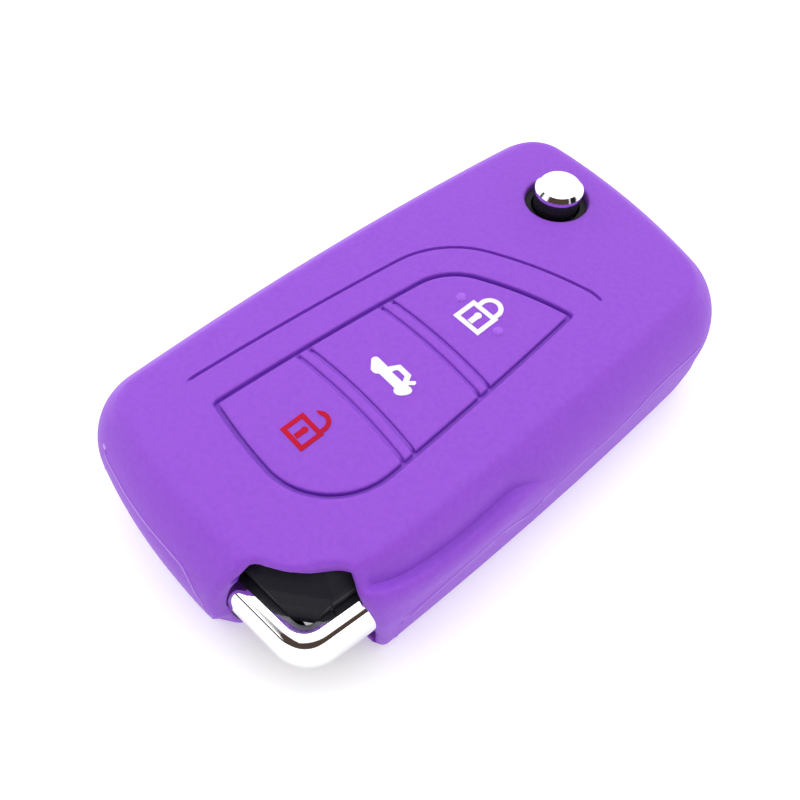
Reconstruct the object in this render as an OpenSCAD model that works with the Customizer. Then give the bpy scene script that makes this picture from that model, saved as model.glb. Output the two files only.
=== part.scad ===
// Folding car key in a silicone cover, lying on its back
// Millimetres, +Y towards the blade end, +X across the buttons, +Z up
// Origin at the middle of the resting face

/* [Cover] */
// Length of the silicone cover along the key
cover_len = 79.2; // [75:0.2:85]
// Width of the cover between its bowed sides
cover_w = 44.4; // [42:0.1:47]
// Height of the cover from its resting face to the crown
cover_h = 17.5; // [17:0.1:19]
// Wall of the cover
cover_wall = 1.7; // [1.4:0.1:1.9]
// Height of the line where the two halves of the mould met
parting_z = 8.8; // [8.4:0.1:9.2]
// Radius of the crown across the top face
crown_r = 330; // [250:10:600]
// Radius of the bow along the right side
right_bow = 600; // [400:20:900]
// Radius of the bow along the left side
left_bow = 450; // [400:10:900]
// Radius of the bow across the far end
far_bow = 86; // [70:1:100]
// Distance of the highest point of the far end from the centre line
far_peak = 11.5; // [9:0.1:13]

/* [Button panel] */
// Width of the leaf shaped button panel
panel_w = 20; // [18:0.5:21]
// Length of the panel
panel_len = 40; // [38:0.5:41]
// Middle of the panel to the right of the centre line
panel_x = 1; // [0:0.1:2]
// Middle of the panel below the middle of the cover
panel_back = 6.85; // [6:0.05:8]
// Width of the moat round the panel
moat_w = 0.6; // [0.4:0.05:0.8]
// Width of each of the two ribs between the pads
rib_w = 1.1; // [0.9:0.1:1.4]
// Width of the thin groove on each side of a rib
slit_w = 0.5; // [0.4:0.05:0.7]
// Distance of the outer groove from the panel
groove_gap = 4.3; // [3.8:0.1:4.6]
// Width of the outer groove
groove_w = 0.5; // [0.3:0.05:0.8]
// Travel of each button
key_travel = 0.5; // [0.3:0.05:0.6]

/* [Key case] */
// Wall of the hard case
case_wall = 1.4; // [1.2:0.1:1.5]
// Clearance between the cover and the case
case_gap = 0.1; // [0.05:0.01:0.15]

/* [Blade] */
// Distance of the blade's tip from the near end of the cover
tip_in = 18.5; // [16:0.1:25]
// Width of the blade
blade_w = 8.6; // [7.6:0.1:8.8]
// Thickness of the blade
blade_t = 2.6; // [2:0.1:2.8]
// Radius of the hub that the blade turns on
hub_r = 8.4; // [8.2:0.1:8.6]
// Pivot from the left side of the cover
pivot_side = 16.7; // [16.3:0.1:17]
// Pivot from the far end of the cover
pivot_in = 12.7; // [12.4:0.1:13.2]

/* [Release button] */
// Radius of the release button
button_r = 3.2; // [2.8:0.05:3.3]
// Height of the release button over the crown of the cover
button_proud = 2.3; // [1.9:0.1:2.6]
// Travel of the release button
button_travel = 1.6; // [1:0.1:1.7]

/* [Key ring bail] */
// Width of the bail's bar
bail_bar = 3.4; // [3:0.1:3.6]
// Height of the bail's bar
bail_h = 7; // [6:0.1:7.4]
// Inner radius of the bail's corner
bail_in_r = 2; // [1.6:0.1:2.4]
// Lean of each leg away from square
bail_lean = 6; // [3:0.5:8]

/* [Battery] */
// Diameter of the coin cell
cell_d = 16; // [15.6:0.1:16.4]
// Thickness of the coin cell
cell_t = 2; // [1.6:0.1:3.2]

/* [Hidden] */
$fn = 64;

// Overrun of a cut past the face that it opens
cut = 0.5;
far_cut = 30;

// Outlines as rings of bowed sides and round corners
corner_steps = 6;
bow_steps = 5;
least_corner_r = 0.4;

function middle(a, b) = (a + b) / 2;
function turn(v) = [-v[1], v[0]];
function meet(c1, d1, c2, d2) =
    let (v = c2 - c1, d = norm(v), a = (d1 * d1 - d2 * d2 + d * d) / (2 * d))
    c1 + v / d * a + turn(v) / d * sqrt(max(0, d1 * d1 - a * a));
function bowed(p, q, r) =
    let (v = q - p, d = norm(v))
    [middle(p, q) + turn(v) / d * sqrt(r * r - d * d / 4), r];
function heading(v) = atan2(v[1], v[0]);
function unwrap(a, base) = a < base ? unwrap(a + 360, base) : a > base + 360 ? unwrap(a - 360, base) : a;
function on_circle(c, r, a) = c + r * [cos(a), sin(a)];
function corner_centre(sides, radii, i, inset) =
    let (n = len(sides), s = sides[i], t = sides[(i + 1) % n], r = max(radii[i] - inset, least_corner_r))
    meet(s[0], s[1] - inset - r, t[0], t[1] - inset - r);
function corner_arc(sides, radii, i, inset) =
    let (
        n = len(sides), s = sides[i], t = sides[(i + 1) % n],
        r = max(radii[i] - inset, least_corner_r),
        c = corner_centre(sides, radii, i, inset),
        a0 = heading(c - s[0]), a1 = unwrap(heading(c - t[0]), a0)
    )
    [for (k = [0 : corner_steps]) on_circle(c, r, a0 + (a1 - a0) * k / corner_steps)];
function side_arc(sides, radii, i, inset) =
    let (
        n = len(sides), s = sides[i], before = (i + n - 1) % n,
        c0 = corner_centre(sides, radii, before, inset),
        c1 = corner_centre(sides, radii, i, inset),
        a0 = heading(c0 - s[0]), a1 = unwrap(heading(c1 - s[0]), a0)
    )
    [for (k = [1 : bow_steps - 1]) on_circle(s[0], s[1] - inset, a0 + (a1 - a0) * k / bow_steps)];
function outline(sides, radii, inset) =
    [for (i = [0 : len(sides) - 1])
        each concat(side_arc(sides, radii, i, inset), corner_arc(sides, radii, i, inset))];

module tube(rings) {
    n = len(rings[0]);
    last = len(rings) - 1;
    walls = [for (i = [0 : last - 1]) for (j = [0 : n - 1]) each let (k = (j + 1) % n) [
        [i * n + j, (i + 1) * n + j, (i + 1) * n + k],
        [i * n + j, (i + 1) * n + k, i * n + k]
    ]];
    first_cap = [for (j = [0 : n - 1]) j];
    last_cap = [for (j = [n - 1 : -1 : 0]) last * n + j];
    polyhedron(points = [for (ring = rings) each ring], faces = concat([first_cap], walls, [last_cap]));
}
module loft(rings, heights) {
    tube([for (i = [0 : len(rings) - 1]) [for (p = rings[i]) [p[0], p[1], heights[i]]]]);
}

// Outline of the cover and the case
left_more = 1.1;
right_more = 0.3;
near_more = 0.8;
half_w = (cover_w - left_more - right_more) / 2;
half_len = (cover_len - near_more) / 2;
left_peak = -11.4;
right_peak = 12;
near_bow = 75;
near_peak = -1.9;
diag_bow = 200;
diag_turn = -48.4;
corner_reach = half_w * cos(diag_turn) - half_len * sin(diag_turn);
lip_in = 10.5;
shoulder_in = 7.1;
case_corner_in = 10.6;
case_shoulder_in = 8.1;
recess_in = 14.4;
lip_reach = corner_reach - lip_in;
shoulder_reach = corner_reach - shoulder_in;
case_reach = corner_reach - case_corner_in;
case_shoulder_reach = corner_reach - case_shoulder_in;
recess_reach = corner_reach - recess_in;
corner_radii = [11, 8.7, 8.7, 3, 3];
function body_sides(reach) = [
    [[half_w + right_more - right_bow, right_peak], right_bow],
    [[-far_peak, half_len - far_bow], far_bow],
    [[left_bow - half_w - left_more, left_peak], left_bow],
    [[near_peak, near_bow - half_len - near_more], near_bow],
    [on_circle([0, 0], reach - diag_bow, diag_turn), diag_bow]
];
function body_outline(inset, reach) = outline(body_sides(reach), corner_radii, inset);

// Section of the skin, from the resting face round the side to the top
foot_inset = 0.9;
foot_power = 2.8;
shoulder_inset = 7.3;
shoulder_power = 2;
parting_rib = 0.12;
parting_half = 0.25;
lower_steps = 6;
upper_steps = 9;
function bulge(a, power) = pow(a, 2 / power);
function lower_skin(depth) = [for (k = [0 : lower_steps]) let (a = 90 * (1 - k / lower_steps)) [
    depth + foot_inset * (1 - bulge(cos(a), foot_power)),
    parting_z - (parting_z - depth) * bulge(sin(a), foot_power)
]];
function upper_skin(depth) = [for (k = [0 : upper_steps]) let (a = 90 * k / upper_steps) [
    depth + shoulder_inset * (1 - bulge(cos(a), shoulder_power)),
    parting_z + (cover_h - depth - parting_z) * bulge(sin(a), shoulder_power)
]];
function rib_skin() = [
    [0, parting_z - parting_half],
    [-parting_rib, parting_z],
    [0, parting_z + parting_half]
];
function cover_skin() = concat(
    [for (s = lower_skin(0)) if (s[1] < parting_z - parting_half) s],
    rib_skin(),
    [for (s = upper_skin(0)) if (s[1] > parting_z + parting_half) s]
);
function inner_skin(depth) = concat(lower_skin(depth), [for (s = upper_skin(depth)) if (s[1] > parting_z) s]);

module skin_solid(skin, low_reach, high_reach) {
    loft(
        [for (s = skin)
            let (t = min(1, max(0, (s[1] - lip_z) / (parting_z - lip_z))))
            body_outline(s[0], low_reach + (high_reach - low_reach) * t)],
        [for (s = skin) s[1]]
    );
}
module crown(depth) {
    translate([0, -far_cut - half_len, cover_h - depth - crown_r])
        rotate([-90, 0, 0])
            cylinder(r = crown_r, h = 2 * (far_cut + half_len), $fn = 2880);
}

// Heights of the case
case_in = cover_wall + case_gap;
case_top = cover_h - case_in;
inner_reach = case_shoulder_reach + case_in;
case_floor = case_in + case_wall;
case_ceiling = case_top - case_wall;
split_z = parting_z;
room_inset = 2.15;

// Bail corner of the cover and the case
bail_side = 7.3;
bail_near = 7.4;
bail_c = [half_w - bail_side, bail_near - half_len];
socket_back = [7.2, 4.8];
socket_x = bail_c[0] - socket_back[0];
socket_y = bail_c[1] + socket_back[1];
lip_z = 4.8;
lobe_near = [-5.2, -1.6];
lobe_far = [1.1, 4.7];
lobe_a = bail_c + lobe_near;
lobe_b = bail_c + lobe_far;
lobe_wave = 1.1;
lobe_rise = 1.4;
wave_steps = 12;
lobe_dir = (lobe_b - lobe_a) / norm(lobe_b - lobe_a);
lobe_out = -turn(lobe_dir);
function wave_points() = [for (k = [0 : wave_steps])
    let (t = k / wave_steps)
    lobe_a + (lobe_b - lobe_a) * t + lobe_out * lobe_wave * (1 - cos(360 * t)) / 2];
recess_margin = [0.4, 0.2];
recess_x = socket_x + recess_margin[0];
recess_y = socket_y - recess_margin[1];
notch_margin = [0.9, 0.7];
notch_x = socket_x + notch_margin[0];
notch_y = socket_y - notch_margin[1];
roof_t = 2.6;
roof_z = case_ceiling - roof_t;

module beyond_diagonal(reach, x0, y0) {
    intersection() {
        rotate([0, 0, diag_turn])
            translate([reach, -far_cut, -far_cut])
                cube([far_cut, 2 * far_cut, 3 * far_cut]);
        translate([x0, y0 - 2 * far_cut, -far_cut])
            cube([2 * far_cut, 2 * far_cut, 3 * far_cut]);
    }
}
module wave_cut() {
    translate([0, 0, lip_z])
        linear_extrude(height = cover_h)
            polygon(concat(
                [[far_cut, -2 * far_cut], [far_cut, socket_y], [lobe_b[0] + lobe_rise, socket_y]],
                [for (k = [wave_steps : -1 : 0]) wave_points()[k]],
                [
                    [lobe_a[0], lobe_a[1] - lobe_rise],
                    [socket_x, lobe_a[1] - lobe_rise],
                    [socket_x, -2 * far_cut]
                ]
            ));
}

// Bail
bail_z = 9;
bail_bevel = 0.8;
bail_round = 2;
bail_power = 2.35;
bail_arc_steps = 8;
roof_gap = 0.3;
roof_steps = 5;
bail_fit = 0.1;
least_bevel = 0.05;
socket_fit = 0.35;
tenon_w = 1.8;
tenon_h = 4.4;
tenon_len = 5;
tenon_in = 0.3;
leg_back = [7.6, 5.2];
leg_end_x = bail_c[0] - leg_back[0];
leg_end_y = bail_c[1] + leg_back[1];
bail_mid_r = bail_in_r + bail_bar / 2;
near_normal = -90 + bail_lean;
side_normal = -bail_lean;
bail_sweep = side_normal - near_normal;
bail_steps = 10;
near_leg_len = (bail_c[0] + bail_mid_r * cos(near_normal) - leg_end_x) / cos(bail_lean);
side_leg_len = (leg_end_y - bail_c[1] - bail_mid_r * sin(side_normal)) / cos(bail_lean);
tenon_out = [2.4, 4.7];
near_tenon_y = bail_c[1] - tenon_out[1];
side_tenon_x = bail_c[0] + tenon_out[0];

function bail_point(r, normal, along) =
    bail_c + r * [cos(normal), sin(normal)] + along * [-sin(normal), cos(normal)];
function bail_section(normal, along, grow, bevel) =
    let (a = bail_in_r - grow, b = bail_in_r + bail_bar - bail_round + grow, h = bail_h / 2 + grow)
    [for (q = concat(
        [[a, bevel - h], [a, h - bevel], [a + bevel, h]],
        [for (k = [0 : bail_arc_steps]) let (t = 180 * k / bail_arc_steps) [
            b + bail_round * bulge(sin(t), bail_power),
            h * sign(cos(t)) * bulge(abs(cos(t)), bail_power)
        ]],
        [[a + bevel, -h]]
    )) let (p = bail_point(q[0], normal, along)) [p[0], p[1], bail_z + q[1]]];
module bail_bar_solid(grow, bevel) {
    tube(concat(
        [bail_section(near_normal, -near_leg_len - grow, grow, bevel)],
        [for (k = [0 : bail_steps]) bail_section(near_normal + bail_sweep * k / bail_steps, 0, grow, bevel)],
        [bail_section(side_normal, side_leg_len + grow, grow, bevel)]
    ));
}
module outside_bail() {
    r = bail_in_r - roof_gap;
    translate([0, 0, bail_z])
        linear_extrude(height = cover_h)
            polygon(concat(
                [bail_point(r, near_normal, -near_leg_len - roof_gap)],
                [for (k = [0 : roof_steps]) bail_point(r, near_normal + bail_sweep * k / roof_steps, 0)],
                [bail_point(r, side_normal, side_leg_len + roof_gap)],
                [
                    [2 * half_w, leg_end_y + roof_gap],
                    [2 * half_w, -2 * half_len],
                    [leg_end_x - roof_gap, -2 * half_len]
                ]
            ));
}
module bail_tenons(grow) {
    translate([leg_end_x - tenon_len - grow, near_tenon_y - grow, bail_z - tenon_h / 2 - grow])
        cube([tenon_len + tenon_in + grow, tenon_w + 2 * grow, tenon_h + 2 * grow]);
    translate([side_tenon_x - grow, leg_end_y - tenon_in, bail_z - tenon_h / 2 - grow])
        cube([tenon_w + 2 * grow, tenon_len + tenon_in + grow, tenon_h + 2 * grow]);
}
bail_pin_r = 0.75;
bail_pin_fit = 0.05;
bail_pin_h = 5.4;
bail_pin_at = [
    [leg_end_x - tenon_len / 2, near_tenon_y + tenon_w / 2],
    [side_tenon_x + tenon_w / 2, leg_end_y + tenon_len / 2]
];
module at_bail_pins() {
    for (p = bail_pin_at)
        translate([p[0], p[1], bail_z - bail_pin_h / 2])
            children();
}

// Button panel
panel_y = -panel_back;
panel_top_bow = 49;
panel_left_bow = 400;
panel_right_bow = 600;
bottom_bow = 70;
panel_radii = [0.5, 8, 0.5, 9.5];
function panel_at(share) = [panel_x + share[0] * panel_w, panel_y + share[1] * panel_len];
top_shares = [[0.44, 0.5], [-0.15, 0.397]];
left_shares = [[-0.38, 0.25], [-0.5, -0.48]];
bottom_shares = [[-0.5, -0.48], [0.09, -0.499]];
right_shares = [[0.5, -0.13], [0.44, 0.5]];
panel_sides = [
    bowed(panel_at(right_shares[0]), panel_at(right_shares[1]), panel_right_bow),
    bowed(panel_at(top_shares[0]), panel_at(top_shares[1]), panel_top_bow),
    bowed(panel_at(left_shares[0]), panel_at(left_shares[1]), panel_left_bow),
    bowed(panel_at(bottom_shares[0]), panel_at(bottom_shares[1]), bottom_bow)
];
function panel_outline(inset) = outline(panel_sides, panel_radii, inset);
rib_shares = [-0.192, 0.102];
rib_y = [for (s = rib_shares) panel_y + s * panel_len];
rib_pitch = rib_w + 2 * slit_w;
groove_depth = 0.45;
groove_foot_share = -0.487;
groove_end_share = 0.48;

rib_bow = 0.6;
rib_bow_r = (panel_w * panel_w / 4 + rib_bow * rib_bow) / (2 * rib_bow);
module rib_arc(y) {
    translate([panel_x, y + rib_bow - rib_bow_r, 0])
        cylinder(r = rib_bow_r, h = 2 * cover_h, $fn = 720);
}
module panel_slab(y0, y1) {
    difference() {
        rib_arc(y1);
        rib_arc(y0);
    }
}
module panel_prism(inset, z0) {
    translate([0, 0, z0])
        linear_extrude(height = 2 * cover_h - z0)
            polygon(panel_outline(inset));
}
module outer_groove() {
    intersection() {
        translate([0, 0, cover_h - groove_depth])
            linear_extrude(height = cover_h)
                difference() {
                    polygon(panel_outline(-groove_gap - groove_w / 2));
                    polygon(panel_outline(-groove_gap + groove_w / 2));
                }
        translate([-half_w, panel_at([0, groove_foot_share])[1], 0])
            cube([half_w + panel_at([groove_end_share, 0])[0], cover_len, 2 * cover_h]);
        translate([panel_x, panel_y, 0])
            rotate([0, 0, heading([panel_w, panel_len])])
                translate([-cover_len, 0, 0])
                    cube([2 * cover_len, cover_len, 2 * cover_h]);
    }
}

// Keys under the pads
pad_z = case_top + case_gap;
recess_depth = 0.8;
recess_z = case_top - recess_depth;
recess_room = 0.6;
key_size = [11, 7];
key_shares = [[0.06, 0.281], [0.02, -0.044], [-0.01, -0.349]];
key_at = [for (s = key_shares) panel_at(s)];
key_fit = 0.2;
key_play = 0.05;
key_flange = 1;
key_flange_t = 0.8;
key_foot = 0.5;
key_corner_r = 1.2;
key_flange_z = recess_z - case_wall - key_play;
key_bottom = key_flange_z - key_flange_t - key_foot;

module round_box(size, r, h) {
    linear_extrude(height = h)
        polygon([for (q = [0 : 3]) for (k = [0 : corner_steps])
            let (
                sx = q == 0 || q == 3 ? 1 : -1,
                sy = q < 2 ? 1 : -1,
                c = [sx * (size[0] / 2 - r), sy * (size[1] / 2 - r)]
            )
            on_circle(c, r, 90 * q + 90 * k / corner_steps)]);
}

// Icons and raised dots
icon_t = 0.2;
icon_proud = 0.05;
icon_z = cover_h + icon_proud - icon_t;
lock_box = [4.1, 3.5];
icon_line = 0.62;
shackle_r = 1.6;
shackle_leg = 0.5;
shackle_off = 0.22;
shackle_open = 0.8;
keyhole_r = 0.47;
keyhole_w = 0.75;
keyhole_up = 0.37;
keyhole_low = -1;
unlock_share = 0.9;
icon_shares = [[0.06, 0.269], [0.03, -0.054], [-0.015, -0.354]];
dot_shares = [[-0.11, 0.292], [0.223, 0.281]];
dot_sphere_r = 1.2;
dot_proud = 0.22;

module lock_body() {
    difference() {
        square(lock_box, center = true);
        square(lock_box - 2 * [icon_line, icon_line], center = true);
    }
    translate([0, keyhole_up])
        circle(r = keyhole_r, $fn = 24);
    translate([-keyhole_w / 2, keyhole_low])
        square([keyhole_w, keyhole_up - keyhole_low]);
}
module shackle(left_leg) {
    base = lock_box[1] / 2;
    over = icon_line / 2;
    translate([0, base + shackle_leg])
        intersection() {
            difference() {
                circle(r = shackle_r, $fn = 48);
                circle(r = shackle_r - icon_line, $fn = 48);
            }
            translate([-shackle_r, 0])
                difference() {
                    square([2 * shackle_r, shackle_r]);
                    if (!left_leg)
                        square([shackle_r, shackle_open]);
                }
        }
    translate([shackle_r - icon_line, base - over])
        square([icon_line, shackle_leg + 2 * over]);
    if (left_leg)
        translate([-shackle_r, base - over])
            square([icon_line, shackle_leg + 2 * over]);
}
car_len = 5.6;
car_h = 2.6;
car_shares = [
    [-0.56, -0.1], [-0.57, 0.03], [-0.54, 0.14], [-0.49, 0.19], [-0.18, 0.17], [-0.17, 0.24],
    [-0.07, 0.61], [-0.05, 0.65], [0.28, 0.63], [0.36, 0.34], [0.43, 0.53], [0.46, 0.54],
    [0.49, 0.5], [0.5, 0.39], [0.41, 0.16], [0.51, 0.17], [0.57, 0.11], [0.59, -0.03],
    [0.56, -0.23], [0.5, -0.41], [0.43, -0.52], [0.35, -0.53], [0.31, -0.47], [0.28, -0.36],
    [-0.18, -0.35], [-0.24, -0.47], [-0.3, -0.5], [-0.37, -0.48]
];
glass_shares = [[-0.04, 0.11], [-0.03, 0.27], [0.01, 0.38], [0.21, 0.38], [0.28, 0.11]];
function car_points(shares) = [for (s = shares) [s[0] * car_len, s[1] * car_h]];
module trunk_car() {
    difference() {
        polygon(car_points(car_shares));
        polygon(car_points(glass_shares));
    }
}
module icon_of(which) {
    if (which == 0)
        translate(panel_at(icon_shares[0])) {
            lock_body();
            translate([shackle_off, 0])
                shackle(true);
        }
    if (which == 1)
        translate(panel_at(icon_shares[1]))
            trunk_car();
    if (which == 2)
        translate(panel_at(icon_shares[2]))
            scale([unlock_share, unlock_share]) {
                lock_body();
                translate([shackle_off, 0])
                    shackle(false);
            }
}
module icon_solid(which, h) {
    translate([0, 0, icon_z])
        linear_extrude(height = h)
            icon_of(which);
}

pad_spans = [
    [rib_y[1] + rib_pitch / 2, half_len],
    [rib_y[0] + rib_pitch / 2, rib_y[1] - rib_pitch / 2],
    [-half_len, rib_y[0] - rib_pitch / 2]
];
module pad(which) {
    difference() {
        intersection() {
            panel_prism(moat_w, pad_z);
            panel_slab(pad_spans[which][0], pad_spans[which][1]);
            crown(0);
        }
        icon_solid(which, cover_h);
    }
}
module key_cap(which) {
    translate([key_at[which][0], key_at[which][1], key_bottom]) {
        round_box(key_size, key_corner_r, pad_z - key_bottom);
        translate([0, 0, key_foot])
            round_box(key_size + 2 * [key_flange, key_flange], key_corner_r, key_flange_t);
    }
}

// Pivot, blade and hub
pivot = [pivot_side - half_w, half_len - pivot_in];
blade_len = cover_len - pivot_in - tip_in;
hub_play = 0.1;
hub_over_split = 2.8;
hub_z = case_floor + hub_play;
hub_top = split_z + hub_over_split;
hub_room = 0.4;
slot_floor = 0.4;
slot_z = case_floor + slot_floor;
blade_mid_z = 6.3;
arm_h = 4.4;
arm_out = 14.4;
arm_in = 3.6;
arm_len = 9.2;
blade_out = 14.2;
tang_w = 6;
tang_len = 7.4;
tang_fit = 0.05;
blade_root = arm_len;
arm_room = 0.5;
slot_room = 0.6;
channel_z = blade_mid_z - blade_t / 2 - slot_room;
blade_in = blade_out - blade_w;
blade_line = middle(blade_out, blade_in);
tip_share = 0.55;
track_w = 2.2;
track_depth = 0.55;
track_wave = 1.2;
track_step = 4.2;
track_points = 24;
track_small_share = 0.6;
track_start_share = 0.1;
spring_room_in = 4.4;
spring_room_out = 7.6;
stem_r = 2.6;
stem_fit = 0.1;
pin_r = 1.5;
pin_fit = 0.06;
pin_head_r = 3;
pin_head_t = 0.7;
pin_len = 5.1;
pin_top = case_in + pin_len;
bore_top = pin_top + hub_play;
web_t = 0.6;
stem_well = bore_top + web_t;
blade_pin_r = 0.9;

module at_pivot() {
    translate([pivot[0], pivot[1], 0])
        children();
}
module blade_channel() {
    translate([pivot[0] - far_cut, pivot[1] - blade_len - slot_room, channel_z])
        cube([far_cut - blade_in + slot_room, blade_len + slot_room, split_z - channel_z]);
}
module arm_sweep(z0, z1, room) {
    reach = norm([arm_out, arm_len]) + room;
    at_pivot() {
        intersection() {
            translate([0, 0, z0])
                cylinder(r = reach, h = z1 - z0, $fn = 128);
            translate([-far_cut, 0, z0])
                cube([2 * far_cut, far_cut, z1 - z0]);
        }
        intersection() {
            translate([0, 0, z0])
                cylinder(r = reach, h = z1 - z0, $fn = 128);
            translate([-far_cut, -arm_len - room, z0])
                cube([far_cut, far_cut, z1 - z0]);
        }
    }
}
module far_slot(z0, z1, room) {
    at_pivot()
        translate([-far_cut, 0, z0])
            cube([far_cut + arm_out + room, far_cut, z1 - z0]);
}

// Release button
button_fit = 0.1;
button_bevel = 0.5;
collar_w = 0.8;
collar_rise = 0.7;
collar_z = case_top + collar_rise;
hole_gap = 0.2;
hole_r = button_r + button_fit + collar_w + hole_gap;
flange_r = 4.2;
flange_t = 0.7;
flange_room = 0.3;
flange_z = case_ceiling - key_play - flange_t;
cap_z = flange_z + flange_t;
chrome_h = 1;
chrome_z = cover_h + button_proud - chrome_h;
chrome_lap = 0.15;
stem_z = stem_well + button_travel + hub_play;
seat_depth = 0.9;
spring_seat = hub_top - seat_depth;
release_coil_r = 3.3;
release_wire_r = 0.22;
release_turns = 4;
release_seat_r = 3.9;
torsion_coil_r = 6;
torsion_wire_r = 0.4;
torsion_turns = 4;
torsion_floor = 1.6;
torsion_seat = hub_z + torsion_floor;
torsion_rise = hub_top - torsion_seat - 2 * torsion_wire_r;
release_rise = flange_z - spring_seat - 2 * release_wire_r;
coil_sides = 6;
coil_rings = 10;

function coil_point(r, rise, turns, k) =
    let (a = 360 * k / coil_rings, t = k / (coil_rings * turns))
    [r * cos(a), r * sin(a), rise * t];
module coil(r, wire, rise, turns) {
    tube([for (k = [0 : coil_rings * turns])
        let (c = coil_point(r, rise, turns, k), a = 360 * k / coil_rings)
        [for (s = [coil_sides - 1 : -1 : 0])
            let (b = 360 * s / coil_sides)
            c + wire * [cos(b) * cos(a), cos(b) * sin(a), sin(b)]]]);
}

// Electronics
board_t = 1;
key_over_board = 1.7;
board_top = key_bottom - key_over_board;
board_z = board_top - board_t;
board_play = 0.35;
board_side = case_in + case_wall + room_inset + board_play;
board_in = 0.5;
board_right = half_w - board_side - board_in;
board_bow = 0.8;
board_left = board_side + board_bow - half_w;
board_near_in = 8.2;
board_near = board_near_in - half_len;
board_from_pivot = 13.5;
board_far = pivot[1] - board_from_pivot;
board_step_back = 4.8;
board_step_up = 13;
board_cut_back = 12.8;
board_cut_up = 7;
board_step_x = board_right - board_step_back;
board_step_y = board_near + board_step_up;
board_cut_x = board_right - board_cut_back;
board_cut_y = board_near + board_cut_up;
post_r = 1.3;
post_edge = 2.1;
post_from_pivot = 2.2;
post_from_step = [3, 0.5];
post_at = [
    [pivot[0] - post_from_pivot, board_near + post_edge],
    [pivot[0] - post_from_pivot, board_far - post_edge],
    [board_right - post_edge, board_far - post_edge],
    [board_step_x - post_from_step[0], board_cut_y - post_from_step[1]]
];
switch_size = [6, 6];
switch_t = 1;
switch_corner_r = 0.4;
plunger_r = 1.7;
plunger_fit = 0.1;
plunger_play = 0.1;
plunger_bottom = board_top + key_travel + plunger_play;
cell_to_board = 9.2;
cell_side = board_side + cell_to_board;
cell_at = [half_w - cell_side, panel_y];
contact_t = 0.4;
cell_z = case_floor + contact_t;
contact_w = 5;
contact_len = 15;
leg_gap = 0.5;
chip_from_corner = [15, 6.2];
chip_at = [board_right, board_far] - chip_from_corner;
chip_size = [5, 5];
chip_t = 1.2;
crystal_from_corner = [4.8, 6.4];
crystal_at = [board_right, board_far] - crystal_from_corner;
crystal_size = [4.6, 2.2];
crystal_t = 1;
crystal_corner_r = 0.8;
transponder_size = [3.4, 9];
transponder_t = 1.6;

// Screw that holds the two halves of the case together
screw_in = [8.7, 19.6];
screw_at = [half_w, half_len] - screw_in;
transponder_from_screw = [-4.3, 5.4];
transponder_at = screw_at + transponder_from_screw;
screw_r = 1;
screw_fit = 0.05;
screw_head_r = 1.9;
screw_head_t = 0.9;
screw_head_gap = 0.1;
screw_boss_r = 2.3;
screw_len = 9;
screw_slot_w = 0.5;
screw_slot_depth = 0.4;

module cover_shell() {
    color("mediumpurple")
        difference() {
            intersection() {
                skin_solid(cover_skin(), lip_reach, shoulder_reach);
                crown(0);
            }
            difference() {
                skin_solid(inner_skin(cover_wall), inner_reach, inner_reach);
                beyond_diagonal(case_reach + case_gap, -far_cut, far_cut);
            }
            difference() {
                panel_prism(0, case_top);
                for (y = rib_y)
                    panel_slab(y - rib_w / 2, y + rib_w / 2);
            }
            outer_groove();
            at_pivot()
                translate([0, 0, case_floor])
                    cylinder(r = hole_r, h = cover_h);
            wave_cut();
            beyond_diagonal(recess_reach, notch_x, notch_y);
            bail_bar_solid(socket_fit, least_bevel);
            arm_sweep(slot_z - arm_room, split_z + arm_room, 2 * arm_room);
            far_slot(slot_z - arm_room, split_z + arm_room, 2 * arm_room);
            translate([-arm_room, -arm_room, -arm_room])
                blade_channel();
            translate([-arm_room, -arm_room, arm_room])
                blade_channel();
        }
}
module lock_pad() {
    color("mediumpurple") {
        pad(0);
        intersection() {
            for (p = [for (s = dot_shares) panel_at(s)])
                translate([p[0], p[1], cover_h + dot_proud - dot_sphere_r])
                    sphere(r = dot_sphere_r);
            translate([-half_w, -half_len, cover_h - cover_wall / 2])
                cube([cover_w, cover_len, cover_h]);
        }
    }
}
module trunk_pad() {
    color("mediumpurple")
        pad(1);
}
module unlock_pad() {
    color("mediumpurple")
        pad(2);
}
module lock_icon() {
    color("white")
        icon_solid(0, icon_t);
}
module trunk_icon() {
    color("white")
        icon_solid(1, icon_t);
}
module unlock_icon() {
    color("crimson")
        icon_solid(2, icon_t);
}

module case_outside() {
    difference() {
        intersection() {
            skin_solid(inner_skin(case_in), inner_reach, inner_reach);
            crown(case_in);
        }
        beyond_diagonal(case_reach, -far_cut, far_cut);
        bail_bar_solid(bail_fit, bail_bevel);
        bail_tenons(bail_fit);
        at_bail_pins()
            translate([0, 0, -bail_pin_fit])
                cylinder(r = bail_pin_r + bail_pin_fit, h = bail_pin_h + 2 * bail_pin_fit);
    }
}
module case_room(z0, z1) {
    difference() {
        translate([0, 0, z0])
            linear_extrude(height = z1 - z0)
                polygon(body_outline(case_in + case_wall + room_inset, recess_reach + case_in + room_inset));
        bail_blocks();
    }
}
module above_split() {
    translate([-far_cut, -2 * far_cut, split_z])
        cube([2 * far_cut, 4 * far_cut, 2 * far_cut]);
}
module below(z) {
    translate([-far_cut, -2 * far_cut, z - 2 * far_cut])
        cube([2 * far_cut, 4 * far_cut, 2 * far_cut]);
}
module bail_blocks() {
    grip = case_wall;
    translate([leg_end_x - tenon_len - grip, -half_len, 0])
        cube([tenon_len + grip, half_len + near_tenon_y + tenon_w + grip, cover_h]);
    translate([side_tenon_x - grip, leg_end_y, 0])
        cube([half_w, tenon_len + grip, cover_h]);
}
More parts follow.
